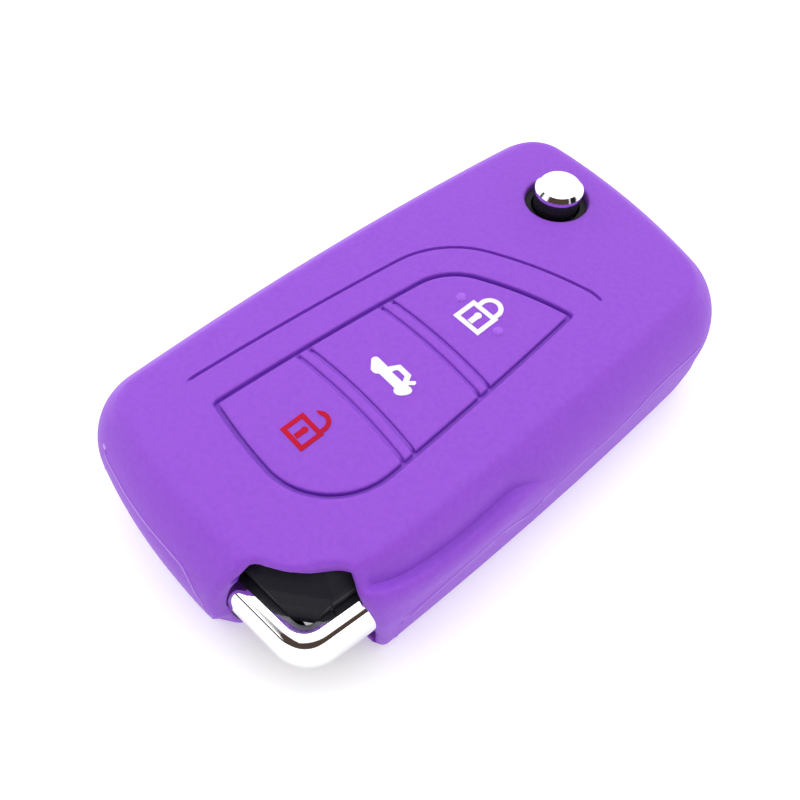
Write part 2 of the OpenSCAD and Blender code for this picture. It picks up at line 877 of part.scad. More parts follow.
module upper_case() {
    color("dimgray")
        difference() {
            union() {
                difference() {
                    case_outside();
                    case_room(split_z - cut, recess_z - case_wall);
                }
                at_pivot()
                    translate([0, 0, case_ceiling])
                        cylinder(r = button_r + button_fit + collar_w, h = collar_z - case_ceiling);
                translate([screw_at[0], screw_at[1], split_z])
                    cylinder(r = screw_boss_r, h = case_ceiling - split_z);
            }
            below(split_z);
            outside_bail();
            panel_prism(-recess_room, recess_z);
            for (p = key_at)
                translate([p[0], p[1], key_bottom])
                    round_box(key_size + 2 * [key_fit, key_fit], key_corner_r, cover_h);
            at_pivot() {
                translate([0, 0, key_bottom])
                    cylinder(r = button_r + button_fit, h = cover_h);
                translate([0, 0, split_z - cut])
                    cylinder(r = hub_r + hub_room, h = hub_top + hub_room - split_z + cut);
                translate([0, 0, split_z])
                    cylinder(r = flange_r + flange_room, h = cap_z + key_play - split_z);
            }
            intersection() {
                beyond_diagonal(recess_reach, recess_x, recess_y);
                below(roof_z);
            }
            translate([screw_at[0], screw_at[1], split_z - cut])
                cylinder(r = screw_r + screw_fit, h = case_ceiling - case_wall - split_z + cut);
        }
}
module lower_case() {
    color("dimgray")
        difference() {
            union() {
                difference() {
                    case_outside();
                    case_room(case_floor, cover_h);
                    above_split();
                }
                for (p = post_at)
                    translate([p[0], p[1], case_in + case_wall / 2])
                        cylinder(r = post_r, h = board_z - case_in - case_wall / 2);
                translate([screw_at[0], screw_at[1], case_in + case_wall / 2])
                    cylinder(r = screw_boss_r, h = split_z - case_in - case_wall / 2);
            }
            blade_channel();
            arm_sweep(slot_z, split_z + cut, arm_room);
            far_slot(slot_z, split_z + cut, arm_room);
            beyond_diagonal(recess_reach, recess_x, recess_y);
            at_pivot() {
                cylinder(r = pin_head_r + pin_fit, h = case_in + pin_head_t);
                cylinder(r = pin_r + pin_fit, h = cover_h);
                translate([0, 0, case_floor])
                    cylinder(r = hub_r + hub_room, h = cover_h);
            }
            translate([screw_at[0], screw_at[1], 0]) {
                cylinder(r = screw_head_r + screw_head_gap, h = case_in + screw_head_t);
                cylinder(r = screw_r + screw_fit, h = cover_h);
            }
        }
}
module case_screw() {
    color("silver")
        difference() {
            translate([screw_at[0], screw_at[1], case_in]) {
                cylinder(r = screw_head_r, h = screw_head_t);
                cylinder(r = screw_r, h = screw_len);
            }
            translate([screw_at[0] - screw_head_r, screw_at[1] - screw_slot_w / 2, 0])
                cube([2 * screw_head_r, screw_slot_w, case_in + screw_slot_depth]);
        }
}
module lock_key() {
    color("darkgray")
        key_cap(0);
}
module trunk_key() {
    color("darkgray")
        key_cap(1);
}
module unlock_key() {
    color("darkgray")
        key_cap(2);
}
module circuit_board() {
    color("darkgreen")
        translate([0, 0, board_z])
            linear_extrude(height = board_t)
                polygon([
                    [board_left, board_near], [board_cut_x, board_near], [board_step_x, board_cut_y],
                    [board_step_x, board_step_y], [board_right, board_step_y],
                    [board_right, board_far], [board_left, board_far]
                ]);
}
module tact_switches() {
    color("gainsboro")
        for (p = key_at)
            translate([p[0], p[1], board_top])
                difference() {
                    round_box(switch_size, switch_corner_r, switch_t);
                    translate([0, 0, -cut])
                        cylinder(r = plunger_r + plunger_fit, h = switch_t + 2 * cut);
                }
}
module plunger(which) {
    translate([key_at[which][0], key_at[which][1], plunger_bottom])
        cylinder(r = plunger_r, h = key_bottom - plunger_bottom);
}
module lock_plunger() {
    color("black")
        plunger(0);
}
module trunk_plunger() {
    color("black")
        plunger(1);
}
module unlock_plunger() {
    color("black")
        plunger(2);
}
module coin_cell() {
    color("silver")
        translate([cell_at[0], cell_at[1], cell_z])
            cylinder(r = cell_d / 2, h = cell_t);
}
module positive_contact() {
    color("goldenrod")
        translate([cell_at[0] - contact_w / 2, cell_at[1], cell_z + cell_t]) {
            translate([0, -contact_len / 2, 0])
                cube([contact_w, contact_len / 2 + cell_d / 2 + leg_gap + contact_t, contact_t]);
            translate([0, cell_d / 2 + leg_gap, 0])
                cube([contact_w, contact_t, board_z - cell_z - cell_t]);
        }
}
module negative_contact() {
    color("goldenrod")
        translate([cell_at[0], cell_at[1] - contact_w / 2, case_floor]) {
            translate([-contact_len / 2, 0, 0])
                cube([contact_len / 2 + cell_d / 2 + leg_gap + contact_t, contact_w, contact_t]);
            translate([cell_d / 2 + leg_gap, 0, 0])
                cube([contact_t, contact_w, board_z - case_floor]);
        }
}
module remote_chip() {
    color("black")
        translate([chip_at[0], chip_at[1], board_z - chip_t])
            round_box(chip_size, switch_corner_r, chip_t);
}
module crystal() {
    color("lightgray")
        translate([crystal_at[0], crystal_at[1], board_z - crystal_t])
            round_box(crystal_size, crystal_corner_r, crystal_t);
}
module transponder_chip() {
    color("darkslategray")
        translate([transponder_at[0], transponder_at[1], recess_z - case_wall - transponder_t])
            round_box(transponder_size, switch_corner_r, transponder_t);
}

module tang_solid(grow) {
    at_pivot()
        translate([
            -blade_line - tang_w / 2 - grow,
            -blade_root - cut,
            blade_mid_z - blade_t / 2 - grow
        ])
            cube([tang_w + 2 * grow, tang_len + cut + grow, blade_t + 2 * grow]);
}
module blade_hub() {
    color("slategray")
        difference() {
            union() {
                at_pivot() {
                    translate([0, 0, hub_z])
                        cylinder(r = hub_r, h = hub_top - hub_z);
                    translate([-arm_out, -arm_len, blade_mid_z - arm_h / 2])
                        cube([arm_out - arm_in, arm_len, arm_h]);
                }
            }
            tang_solid(tang_fit);
            at_pivot() {
                translate([0, 0, hub_z - cut])
                    cylinder(r = pin_r + pin_fit, h = bore_top - hub_z + cut);
                translate([0, 0, stem_well])
                    cylinder(r = stem_r + stem_fit, h = cover_h);
                translate([0, 0, spring_seat])
                    cylinder(r = release_seat_r, h = cover_h);
                translate([0, 0, torsion_seat])
                    difference() {
                        cylinder(r = spring_room_out, h = cover_h);
                        translate([0, 0, -cut])
                            cylinder(r = spring_room_in, h = cover_h + 2 * cut);
                    }
                translate([-blade_line, -blade_root + tang_len / 2, 0])
                    cylinder(r = blade_pin_r + bail_pin_fit, h = cover_h);
            }
        }
}
function track_centre(k) = track_wave * sin(360 * k / track_step) * (k % 3 == 0 ? 1 : track_small_share);
function track_side(side, long, k) = [
    track_centre(k) + side * track_w / 2,
    -long * (track_start_share + (1 - track_start_share) * k / track_points)
];
module key_blade() {
    long = blade_len - blade_root;
    tip = blade_w * tip_share;
    color("silver")
        difference() {
            union() {
                at_pivot()
                    translate([-blade_line, -blade_root, blade_mid_z - blade_t / 2])
                        linear_extrude(height = blade_t)
                            polygon([
                                [-blade_w / 2, 0], [-blade_w / 2, tip - long], [-blade_w / 8, -long],
                                [blade_w / 8, -long], [blade_w / 2, tip - long], [blade_w / 2, 0]
                            ]);
                tang_solid(0);
            }
            at_pivot() {
                for (z = [blade_mid_z - blade_t / 2, blade_mid_z + blade_t / 2 - track_depth])
                    translate([-blade_line, -blade_root, z])
                        linear_extrude(height = track_depth)
                            polygon(concat(
                                [for (k = [0 : track_points]) track_side(-1, long, k)],
                                [for (k = [track_points : -1 : 0]) track_side(1, long, k)]
                            ));
                translate([-blade_line, -blade_root + tang_len / 2, 0])
                    cylinder(r = blade_pin_r + bail_pin_fit, h = cover_h);
            }
        }
}
module blade_pin() {
    color("gray")
        at_pivot()
            translate([-blade_line, -blade_root + tang_len / 2, blade_mid_z - arm_h / 2])
                cylinder(r = blade_pin_r, h = arm_h);
}
module pivot_pin() {
    color("silver")
        at_pivot()
            translate([0, 0, case_in]) {
                cylinder(r = pin_head_r, h = pin_head_t);
                cylinder(r = pin_r, h = pin_top - case_in);
            }
}
module torsion_spring() {
    color("dimgray")
        at_pivot()
            translate([0, 0, torsion_seat + torsion_wire_r])
                coil(torsion_coil_r, torsion_wire_r, torsion_rise, torsion_turns);
}
module release_button() {
    color("whitesmoke")
        at_pivot() {
            translate([0, 0, chrome_z])
                cylinder(r = button_r, h = chrome_h - button_bevel);
            translate([0, 0, cover_h + button_proud - button_bevel])
                cylinder(r1 = button_r, r2 = button_r - button_bevel, h = button_bevel);
        }
}
module release_plunger() {
    color("black")
        at_pivot() {
            translate([0, 0, flange_z])
                cylinder(r = flange_r, h = flange_t);
            translate([0, 0, cap_z])
                cylinder(r = button_r - chrome_lap, h = chrome_z - cap_z);
            translate([0, 0, stem_z])
                cylinder(r = stem_r, h = flange_z - stem_z + flange_t / 2);
        }
}
module release_spring() {
    color("gray")
        at_pivot()
            translate([0, 0, spring_seat + release_wire_r])
                coil(release_coil_r, release_wire_r, release_rise, release_turns);
}
module key_ring_bail() {
    color("whitesmoke")
        difference() {
            union() {
                bail_bar_solid(0, bail_bevel);
                bail_tenons(0);
            }
            at_bail_pins()
                translate([0, 0, -cut])
                    cylinder(r = bail_pin_r + bail_pin_fit, h = bail_pin_h + 2 * cut);
        }
}
module bail_pins() {
    color("gray")
        at_bail_pins()
            cylinder(r = bail_pin_r, h = bail_pin_h);
}

cover_shell();
lock_pad();
trunk_pad();
unlock_pad();
lock_icon();
trunk_icon();
unlock_icon();
upper_case();
lower_case();
case_screw();
lock_key();
trunk_key();
unlock_key();
circuit_board();
tact_switches();
lock_plunger();
trunk_plunger();
unlock_plunger();
coin_cell();
positive_contact();
negative_contact();
remote_chip();
crystal();
transponder_chip();
blade_hub();
key_blade();
blade_pin();
pivot_pin();
torsion_spring();
release_button();
release_plunger();
release_spring();
key_ring_bail();
bail_pins();
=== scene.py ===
import math

import bpy
import numpy as np
from mathutils import Matrix, Vector
from mathutils.geometry import delaunay_2d_cdt


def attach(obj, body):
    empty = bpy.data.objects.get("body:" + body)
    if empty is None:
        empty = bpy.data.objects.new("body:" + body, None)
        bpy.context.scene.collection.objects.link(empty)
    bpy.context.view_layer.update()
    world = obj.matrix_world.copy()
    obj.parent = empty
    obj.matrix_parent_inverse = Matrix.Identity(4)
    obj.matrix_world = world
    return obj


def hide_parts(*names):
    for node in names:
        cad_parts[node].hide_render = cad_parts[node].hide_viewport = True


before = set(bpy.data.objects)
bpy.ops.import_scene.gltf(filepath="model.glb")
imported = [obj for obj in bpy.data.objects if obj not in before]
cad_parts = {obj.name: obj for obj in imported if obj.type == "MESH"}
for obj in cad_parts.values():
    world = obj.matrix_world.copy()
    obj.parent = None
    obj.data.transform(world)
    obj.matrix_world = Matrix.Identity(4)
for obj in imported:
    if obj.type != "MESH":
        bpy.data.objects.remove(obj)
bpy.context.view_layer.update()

# Lengths in this script are in millimetres and become metres when a mesh is made
MM = 0.001

# Camera, from a fit to the photograph's outlines. Its angles are in radians, and its
# clipping distances in metres.
PITCH = 1.0093
HEADING = 0.8293
ROLL = 0.0059
LENS = 32.03
SENSOR = 36
EYE = (35.50, -38.69, 83.79)
CLIP = (0.005, 20)


def aim_camera():
    forward = np.array(
        [
            -math.sin(HEADING) * math.cos(PITCH),
            math.cos(HEADING) * math.cos(PITCH),
            -math.sin(PITCH),
        ]
    )
    right = np.array([math.cos(HEADING), math.sin(HEADING), 0])
    up = np.cross(right, forward)
    side = math.cos(ROLL) * right + math.sin(ROLL) * up
    top = math.cos(ROLL) * up - math.sin(ROLL) * right
    data = bpy.data.cameras.new("camera")
    data.sensor_width = SENSOR
    data.lens = LENS
    data.clip_start, data.clip_end = CLIP
    camera = bpy.data.objects.new("camera", data)
    turned = Matrix([[side[i], top[i], -forward[i]] for i in range(3)]).to_4x4()
    camera.matrix_world = Matrix.Translation(Vector(EYE) * MM) @ turned
    bpy.context.scene.collection.objects.link(camera)
    bpy.context.scene.camera = camera


# Sizes of the cover
HALF_W = 21.5
HALF_LEN = 39.2
# How much further the left, right and near sides reach
LEFT_MORE = 1.1
RIGHT_MORE = 0.3
NEAR_MORE = 0.8
COVER_H = 17.5
WALL = 1.7
# Height where the foot ends and the shoulder starts
PARTING = 8.8
# The top's arch, and how softly the shoulder runs into it
CROWN_R = 330
CROWN_BLEND = 0.35
BLEND_FROM = 0.8
# The foot and the shoulder: how far each draws in, and its levels
FOOT_INSET = 0.9
FOOT_POWER = 2.8
FOOT_LEVELS = 10
SHOULDER_INSET = 7.3
SHOULDER_LEVELS = 24
# Spacing of the points on the top and the back, and the smallest corner in plan
TOP_SPACING = 0.7
BACK_SPACING = 2.5
MIN_ROUND = 0.4
# Below this a length counts as nothing
TINY = 1e-12

# The corner at the bail is cut off across DIAG: how far it reaches from the middle, at
# the lip below the bail, at the shoulder and in the recess behind the bail
DIAG = math.radians(-48.4)
CORNER_REACH = HALF_W * math.cos(DIAG) - HALF_LEN * math.sin(DIAG)
LIP_REACH = CORNER_REACH - 9.5
SHOULDER_REACH = CORNER_REACH - 7.1
RECESS_REACH = CORNER_REACH - 14.4
RECESS_TOP = 8.0
LIP = 4.8
CORNER_RADII = (11, 8.7, 8.7, 3, 3)
PIVOT = np.array([-4.8, 26.5])
BAIL_C = np.array([14.2, -31.8])


def turn(v):
    return np.array([-v[1], v[0]])


def meet(c1, d1, c2, d2):
    """The point at distance d1 from c1 and d2 from c2, on the left of their line."""
    v = c2 - c1
    d = np.linalg.norm(v)
    a = (d1 * d1 - d2 * d2 + d * d) / (2 * d)
    return c1 + v / d * a + turn(v) / d * math.sqrt(max(0, d1 * d1 - a * a))


def bowed(p, q, r):
    """Centre and radius of a side that bows from p to q."""
    p, q = np.array(p), np.array(q)
    v = q - p
    d = np.linalg.norm(v)
    return (p + q) / 2 + turn(v) / d * math.sqrt(r * r - d * d / 4), r


def arc(centre, radius, start, end, shares):
    """Points at shares of the way round from start to end, the shorter way."""
    a0 = math.atan2(*(start - centre)[::-1])
    a1 = math.atan2(*(end - centre)[::-1])
    if a1 < a0:
        a1 += 2 * math.pi
    if a1 - a0 > math.pi:
        a1 -= 2 * math.pi
    angles = a0 + (a1 - a0) * shares
    return centre + radius * np.stack([np.cos(angles), np.sin(angles)], 1)


def outline(sides, radii, inset, side_steps, corner_steps):
    """Ring of bowed sides and round corners; the same counts at every inset."""
    n = len(sides)
    kept = [max(r - inset, MIN_ROUND) for r in radii]
    centres = []
    for i in range(n):
        (c1, r1), (c2, r2) = sides[i], sides[(i + 1) % n]
        centres.append(meet(c1, r1 - inset - kept[i], c2, r2 - inset - kept[i]))
    out = []
    for i in range(n):
        (side, radius), nxt = sides[i], sides[(i + 1) % n]
        before, after = centres[i - 1], centres[i]
        shares = np.arange(1, side_steps[i]) / side_steps[i]
        reach = radius - inset
        first = side + (before - side) / np.linalg.norm(before - side) * reach
        last = side + (after - side) / np.linalg.norm(after - side) * reach
        out.append(arc(side, reach, first, last, shares))
        far = nxt[0] + (after - nxt[0]) / np.linalg.norm(after - nxt[0]) * (nxt[1] - inset)
        shares = np.arange(corner_steps[i] + 1) / corner_steps[i]
        out.append(arc(after, kept[i], last, far, shares))
    return np.concatenate(out)


# The cover's sides: the radius of each bow and where it reaches furthest, and the
# number of steps along the sides and round the corners
RIGHT_BOW, RIGHT_PEAK = 600, 12
FAR_BOW, FAR_PEAK = 86, -11.5
LEFT_BOW, LEFT_PEAK = 450, -11.4
NEAR_BOW, NEAR_PEAK = 75, -1.9
CORNER_BOW = 200
SIDE_STEPS = (90, 44, 94, 34, 18)
CORNER_STEPS = (16, 14, 14, 12, 12)


def body_ring(inset, reach):
    """Outline of the cover in plan; reach is that of the bail's corner."""
    out = np.array([math.cos(DIAG), math.sin(DIAG)])
    sides = [
        (np.array([HALF_W + RIGHT_MORE - RIGHT_BOW, RIGHT_PEAK]), RIGHT_BOW),
        (np.array([FAR_PEAK, HALF_LEN - FAR_BOW]), FAR_BOW),
        (np.array([LEFT_BOW - HALF_W - LEFT_MORE, LEFT_PEAK]), LEFT_BOW),
        (np.array([NEAR_PEAK, NEAR_BOW - HALF_LEN - NEAR_MORE]), NEAR_BOW),
        (out * (reach - CORNER_BOW), CORNER_BOW),
    ]
    return outline(sides, CORNER_RADII, inset, SIDE_STEPS, CORNER_STEPS)


# The leaf shaped panel of the buttons. Each side passes through two points, given as
# shares of the panel's width and length from its middle, and bows with a radius.
PANEL_W = 20
PANEL_LEN = 40
PANEL = np.array([1, -6.85])
PANEL_SIDES = (
    ((0.5, -0.13), (0.44, 0.5), 600),
    ((0.44, 0.5), (-0.15, 0.397), 49),
    ((-0.38, 0.25), (-0.5, -0.48), 400),
    ((-0.5, -0.48), (0.09, -0.499), 70),
)
PANEL_RADII = (0.5, 8, 0.5, 9.5)
PANEL_STEPS = (40, 20, 40, 20)
PANEL_CORNER_STEPS = (8, 20, 8, 24)
RIB_Y = (-14.53, -2.77)


def panel_at(x, y):
    return PANEL + np.array([x * PANEL_W, y * PANEL_LEN])


def panel_ring():
    sides = [bowed(panel_at(*p), panel_at(*q), r) for p, q, r in PANEL_SIDES]
    return outline(sides, PANEL_RADII, 0, PANEL_STEPS, PANEL_CORNER_STEPS)


def polygon_distance(points, poly):
    """Signed distance in plan: negative inside."""
    best = np.full(len(points), np.inf)
    inside = np.zeros(len(points), bool)
    x, y = points[:, 0], points[:, 1]
    for (ax, ay), (bx, by) in zip(poly, np.roll(poly, -1, 0)):
        dx, dy = bx - ax, by - ay
        size = dx * dx + dy * dy
        if size < TINY:
            continue
        t = np.clip(((x - ax) * dx + (y - ay) * dy) / size, 0, 1)
        best = np.minimum(best, (x - ax - t * dx) ** 2 + (y - ay - t * dy) ** 2)
        if dy != 0:
            across = ((ay > y) != (by > y)) & (x < ax + (y - ay) * dx / dy)
            inside ^= across
    return np.where(inside, -1, 1) * np.sqrt(best)


def smooth_max(a, b, k):
    """The larger of a and b, rounded over k where they cross."""
    h = np.clip(0.5 + (a - b) / (2 * k), 0, 1)
    return b + (a - b) * h + k * h * (1 - h)


def smooth_min(a, b, k):
    return -smooth_max(-a, -b, k)


def rise(x, low, high):
    """Smooth step from 0 at low to 1 at high."""
    t = np.clip((x - low) / (high - low), 0, 1)
    return t * t * (3 - 2 * t)


def fillet(d, r):
    """Depth of a round edge of radius r at distance d from it."""
    t = np.clip(r - d, 0, r)
    return r - np.sqrt(np.maximum(r * r - t * t, 0))


def crown(x):
    """Height of the top, which is slightly arched from side to side."""
    return COVER_H - CROWN_R + np.sqrt(CROWN_R**2 - x * x)


def skin_levels():
    """Insets and heights of the skin, from the foot to the top."""
    out = []
    for k in range(FOOT_LEVELS + 1):
        a = math.pi / 2 * (1 - k / FOOT_LEVELS)
        inset = FOOT_INSET * (1 - max(math.cos(a), 0) ** (2 / FOOT_POWER))
        out.append((inset, PARTING - PARTING * math.sin(a) ** (2 / FOOT_POWER)))
    for k in range(1, SHOULDER_LEVELS + 1):
        a = math.pi / 2 * k / SHOULDER_LEVELS
        z = PARTING + (COVER_H - PARTING) * math.sin(a)
        z += CROWN_BLEND * rise(math.sin(a), BLEND_FROM, 1)
        out.append((SHOULDER_INSET * (1 - max(math.cos(a), 0)), z))
    return out


# Distance between the rows of a grid of even triangles and how near its points come to
# the ring, as shares of their spacing, and how near two points are taken as one
ROW_SHARE = 0.87
EDGE_SHARE = 0.45
SAME = 1e-6
# Keeps only the triangles inside the ring
INSIDE = 1


def fill_plan(ring, spacing):
    """Triangles inside a ring, over a grid whose every other row is shifted."""
    lo, hi = ring.min(0), ring.max(0)
    gx = np.arange(lo[0], hi[0], spacing)
    gy = np.arange(lo[1], hi[1], spacing * ROW_SHARE)
    inner = np.array(
        [(x + (spacing / 2 if j % 2 else 0), y) for j, y in enumerate(gy) for x in gx]
    )
    inner = inner[polygon_distance(inner, ring) < -spacing * EDGE_SHARE]
    pts = [Vector(p) for p in np.concatenate([ring, inner])]
    n = len(ring)
    edges = [(i, (i + 1) % n) for i in range(n)]
    coords, _, faces, origin, _, _ = delaunay_2d_cdt(pts, edges, [], INSIDE, SAME)
    source = [o[0] if o else -1 for o in origin]
    return np.array([tuple(c) for c in coords]), np.array([list(f) for f in faces]), source


# A point within SNAP of a level line, as a share of its edge, moves onto the line, and
# LINE_SNAP is used for the mould lines. A point that lies on an earlier line stays, and
# counts as on the new one only within HELD.
SNAP = 0.22
LINE_SNAP = 0.1
HELD = 0.01
ON_LINE = 1e-7
# A point settles where the field's slope is steady. PROBE is the step that measures it.
PROBE = 0.004
STEADY = (0.4, 2.5)
LONGEST_STEP = 0.06
SETTLE_TIMES = 2


class Skin:
    """A triangle mesh that is cut along the level lines of fields."""

    def __init__(self, points, faces):
        self.p = np.array(points, float)
        self.f = np.array(faces)
        self.n = vertex_normals(self.p, self.f)
        self.lock = np.zeros(len(self.p), bool)

    def cut(self, field, levels, snap=SNAP):
        s = field(self.p)
        for level in levels:
            s = self.cut_level(field, s, level, snap)

    def crossing(self, s):
        """Faces that the line crosses, with their edges and which of those it cuts."""
        tri = s[self.f]
        live = np.nonzero((tri.min(1) < 0) & (tri.max(1) > 0))[0]
        f = self.f[live]
        pairs = np.stack([f, np.roll(f, -1, 1)], 2).reshape(-1, 2)
        low, high = pairs.min(1), pairs.max(1)
        key = low.astype(np.int64) * len(self.p) + high
        uniq, inverse = np.unique(key, return_inverse=True)
        a, b = uniq // len(self.p), uniq % len(self.p)
        return live, a, b, inverse.reshape(-1, 3), s[a] * s[b] < 0

    def settle(self, field, index, level):
        """Newton step along the surface onto the level line."""
        for _ in range(SETTLE_TIMES):
            p, n = self.p[index], self.n[index]
            value = field(p) - level
            grad = np.stack(
                [
                    (field(p + PROBE * axis) - field(p - PROBE * axis)) / (2 * PROBE)
                    for axis in np.eye(3)
                ],
                1,
            )
            grad -= (grad * n).sum(1)[:, None] * n
            size = np.sqrt((grad**2).sum(1))
            steady = (size > STEADY[0]) & (size < STEADY[1])
            size = np.maximum(size, STEADY[0])
            move = np.where(steady, value / size, 0)
            grad /= size[:, None]
            move = np.clip(move, -LONGEST_STEP, LONGEST_STEP)
            self.p[index] = p - move[:, None] * grad

    def cut_level(self, field, s, level, snap):
        """Splits the faces along one level line; s holds the field at the points."""
        s = s - level
        s[np.abs(s) < ON_LINE] = 0
        moved = self.snap(s, snap)
        before = len(s)
        s = self.split(s)
        self.lock[s == 0] = True
        fresh = np.concatenate([moved, np.arange(before, len(s))])
        if len(fresh):
            self.settle(field, np.unique(fresh), level)
        return s + level

    def snap(self, s, snap):
        """Moves the free points near the line onto it, and sets s to 0 at all of them."""
        _, a, b, _, cross = self.crossing(s)
        a, b = a[cross], b[cross]
        t = s[a] / (s[a] - s[b])
        spot = self.p[a] + t[:, None] * (self.p[b] - self.p[a])
        vert = np.where(t < 0.5, a, b)
        near = np.minimum(t, 1 - t)
        order = np.argsort(-near)
        vert, near, spot = vert[order], near[order], spot[order]
        ok = near < np.where(self.lock[vert], HELD, snap)
        vert, spot = vert[ok], spot[ok]
        free = ~self.lock[vert]
        self.p[vert[free]] = spot[free]
        s[vert] = 0
        return vert[free]

    def split(self, s):
        """Splits the faces that the line crosses; gives s with the new points in it."""
        live, a, b, inverse, cross = self.crossing(s)
        ids = np.full(len(a), -1)
        ids[cross] = len(self.p) + np.arange(cross.sum())
        a, b = a[cross], b[cross]
        t = (s[a] / (s[a] - s[b]))[:, None]
        self.p = np.concatenate([self.p, self.p[a] + t * (self.p[b] - self.p[a])])
        normal = self.n[a] + t * (self.n[b] - self.n[a])
        normal /= np.linalg.norm(normal, axis=1)[:, None]
        self.n = np.concatenate([self.n, normal])
        self.lock = np.concatenate([self.lock, np.ones(len(a), bool)])
        f, mid = self.f[live], ids[inverse]
        count = (mid >= 0).sum(1)
        whole = f[count == 0]
        one, m = f[count == 1], mid[count == 1]
        shift = np.array([2, 0, 1])[np.argmax(m >= 0, 1)]
        one, m = rolled(one, shift), rolled(m, shift)
        parts = [
            whole,
            np.stack([one[:, 0], one[:, 1], m[:, 1]], 1),
            np.stack([one[:, 0], m[:, 1], one[:, 2]], 1),
        ]
        two, m = f[count == 2], mid[count == 2]
        shift = np.array([2, 0, 1])[np.argmin(m, 1)]
        two, m = rolled(two, shift), rolled(m, shift)
        m1, m2 = m[:, 0], m[:, 2]
        parts += [
            np.stack([two[:, 0], m1, m2], 1),
            np.stack([m1, two[:, 1], two[:, 2]], 1),
            np.stack([m1, two[:, 2], m2], 1),
        ]
        keep = np.ones(len(self.f), bool)
        keep[live] = False
        self.f = np.concatenate([self.f[keep]] + parts)
        return np.concatenate([s, np.zeros(len(a))])


def rolled(rows, shift):
    """Each row turned so that its item number shift comes first."""
    index = (np.arange(3)[None] + shift[:, None]) % 3
    return np.take_along_axis(rows, index, 1)


def vertex_normals(p, f):
    cross = np.cross(p[f[:, 1]] - p[f[:, 0]], p[f[:, 2]] - p[f[:, 0]])
    n = np.zeros_like(p)
    for k in range(3):
        np.add.at(n, f[:, k], cross)
    return n / np.maximum(np.linalg.norm(n, axis=1), TINY)[:, None]


def body_skin():
    """The whole closed skin of the cover."""
    rings = []
    for inset, z in skin_levels():
        t = min(1, max(0, (z - LIP) / (PARTING - LIP)))
        plan = body_ring(inset, LIP_REACH + (SHOULDER_REACH - LIP_REACH) * t)
        height = np.full(len(plan), z)
        if z > PARTING:
            height = smooth_min(height, crown(plan[:, 0]), CROWN_BLEND)
        rings.append(np.column_stack([plan, height]))
    n = len(rings[0])
    points = list(rings)
    faces = []
    j = np.arange(n)
    k = (j + 1) % n
    for i in range(len(rings) - 1):
        a, b = i * n, (i + 1) * n
        faces.append(np.stack([a + j, a + k, b + k], 1))
        faces.append(np.stack([a + j, b + k, b + j], 1))
    total = len(rings) * n
    for last, up in ((len(rings) - 1, True), (0, False)):
        ring = rings[last]
        coords, tris, source = fill_plan(ring[:, :2], TOP_SPACING if up else BACK_SPACING)
        index = np.zeros(len(coords), int)
        fresh = []
        for v, o in enumerate(source):
            if 0 <= o < n:
                index[v] = last * n + o
            else:
                index[v] = total + len(fresh)
                fresh.append(v)
        plan = coords[fresh]
        if up:
            z = crown(plan[:, 0])
        else:
            z = np.zeros(len(plan))
        points.append(np.column_stack([plan, z]))
        total += len(fresh)
        tris = index[tris]
        faces.append(tris if up else tris[:, ::-1])
    return Skin(np.concatenate(points), np.concatenate(faces))


def used_only(p, f, *more):
    """Points that the faces use, the faces renumbered, and more rows like p."""
    index = np.full(len(p), -1)
    used = np.unique(f)
    index[used] = np.arange(len(used))
    return (p[used], index[f]) + tuple(m[used] for m in more)


def border(f):
    """Directed edges that only one face has."""
    pairs = np.concatenate([f[:, [0, 1]], f[:, [1, 2]], f[:, [2, 0]]])
    size = f.max() + 1
    key = pairs[:, 0].astype(np.int64) * size + pairs[:, 1]
    back = pairs[:, 1].astype(np.int64) * size + pairs[:, 0]
    return pairs[~np.isin(key, back)]


def shell(outer, inner, f, share):
    """Closes an outer and an inner sheet of the same faces along their borders.

    The closing faces have a row of points in them, at a share of the way inward.
    """
    n = len(outer)
    edges = border(f)
    rim = np.unique(edges)
    middle = np.full(n, -1)
    middle[rim] = 2 * n + np.arange(len(rim))
    between = outer[rim] * (1 - share) + inner[rim] * share
    a, b = edges[:, 0], edges[:, 1]
    rows = ((a, b), (middle[a], middle[b]), (a + n, b + n))
    faces = [f, f[:, ::-1] + n]
    for (upper_a, upper_b), (lower_a, lower_b) in zip(rows[:-1], rows[1:]):
        faces.append(np.stack([upper_b, upper_a, lower_a], 1))
        faces.append(np.stack([upper_b, lower_a, lower_b], 1))
    return np.concatenate([outer, inner, between]), np.concatenate(faces)


# Faces that turn by more than this many degrees meet in a sharp edge
SMOOTH_ANGLE = 38


def add_mesh(name, points, faces, material, smooth_angle=SMOOTH_ANGLE):
    mesh = bpy.data.meshes.new(name)
    mesh.from_pydata((np.asarray(points) * MM).tolist(), [], [list(map(int, f)) for f in faces])
    mesh.update()
    mesh.materials.append(material)
    mesh.shade_smooth()
    mesh.set_sharp_from_angle(angle=math.radians(smooth_angle))
    obj = bpy.data.objects.new(name, mesh)
    bpy.context.scene.collection.objects.link(obj)
    return obj


def give_faces(piece, material, chosen):
    """Puts a second material on the chosen faces of a piece."""
    piece.data.materials.append(material)
    for i in np.nonzero(chosen)[0]:
        piece.data.polygons[int(i)].material_index = 1


def smooth_path(points, steps):
    """Catmull-Rom curve through the points."""
    p = np.array(points, float)
    p = np.concatenate([[2 * p[0] - p[1]], p, [2 * p[-1] - p[-2]]])
    out = []
    for i in range(1, len(p) - 2):
        for k in range(steps):
            t = k / steps
            out.append(
                0.5
                * (
                    2 * p[i]
                    + (p[i + 1] - p[i - 1]) * t
                    + (2 * p[i - 1] - 5 * p[i] + 4 * p[i + 1] - p[i + 2]) * t * t
                    + (3 * p[i] - p[i - 1] - 3 * p[i + 1] + p[i + 2]) * t**3
                )
            )
    out.append(p[-2])
    return np.array(out)


# Materials. The scales of grain and patches are per metre, and depths are in metres.
GRAIN_DETAIL = 2
PATCH_DETAIL = 4
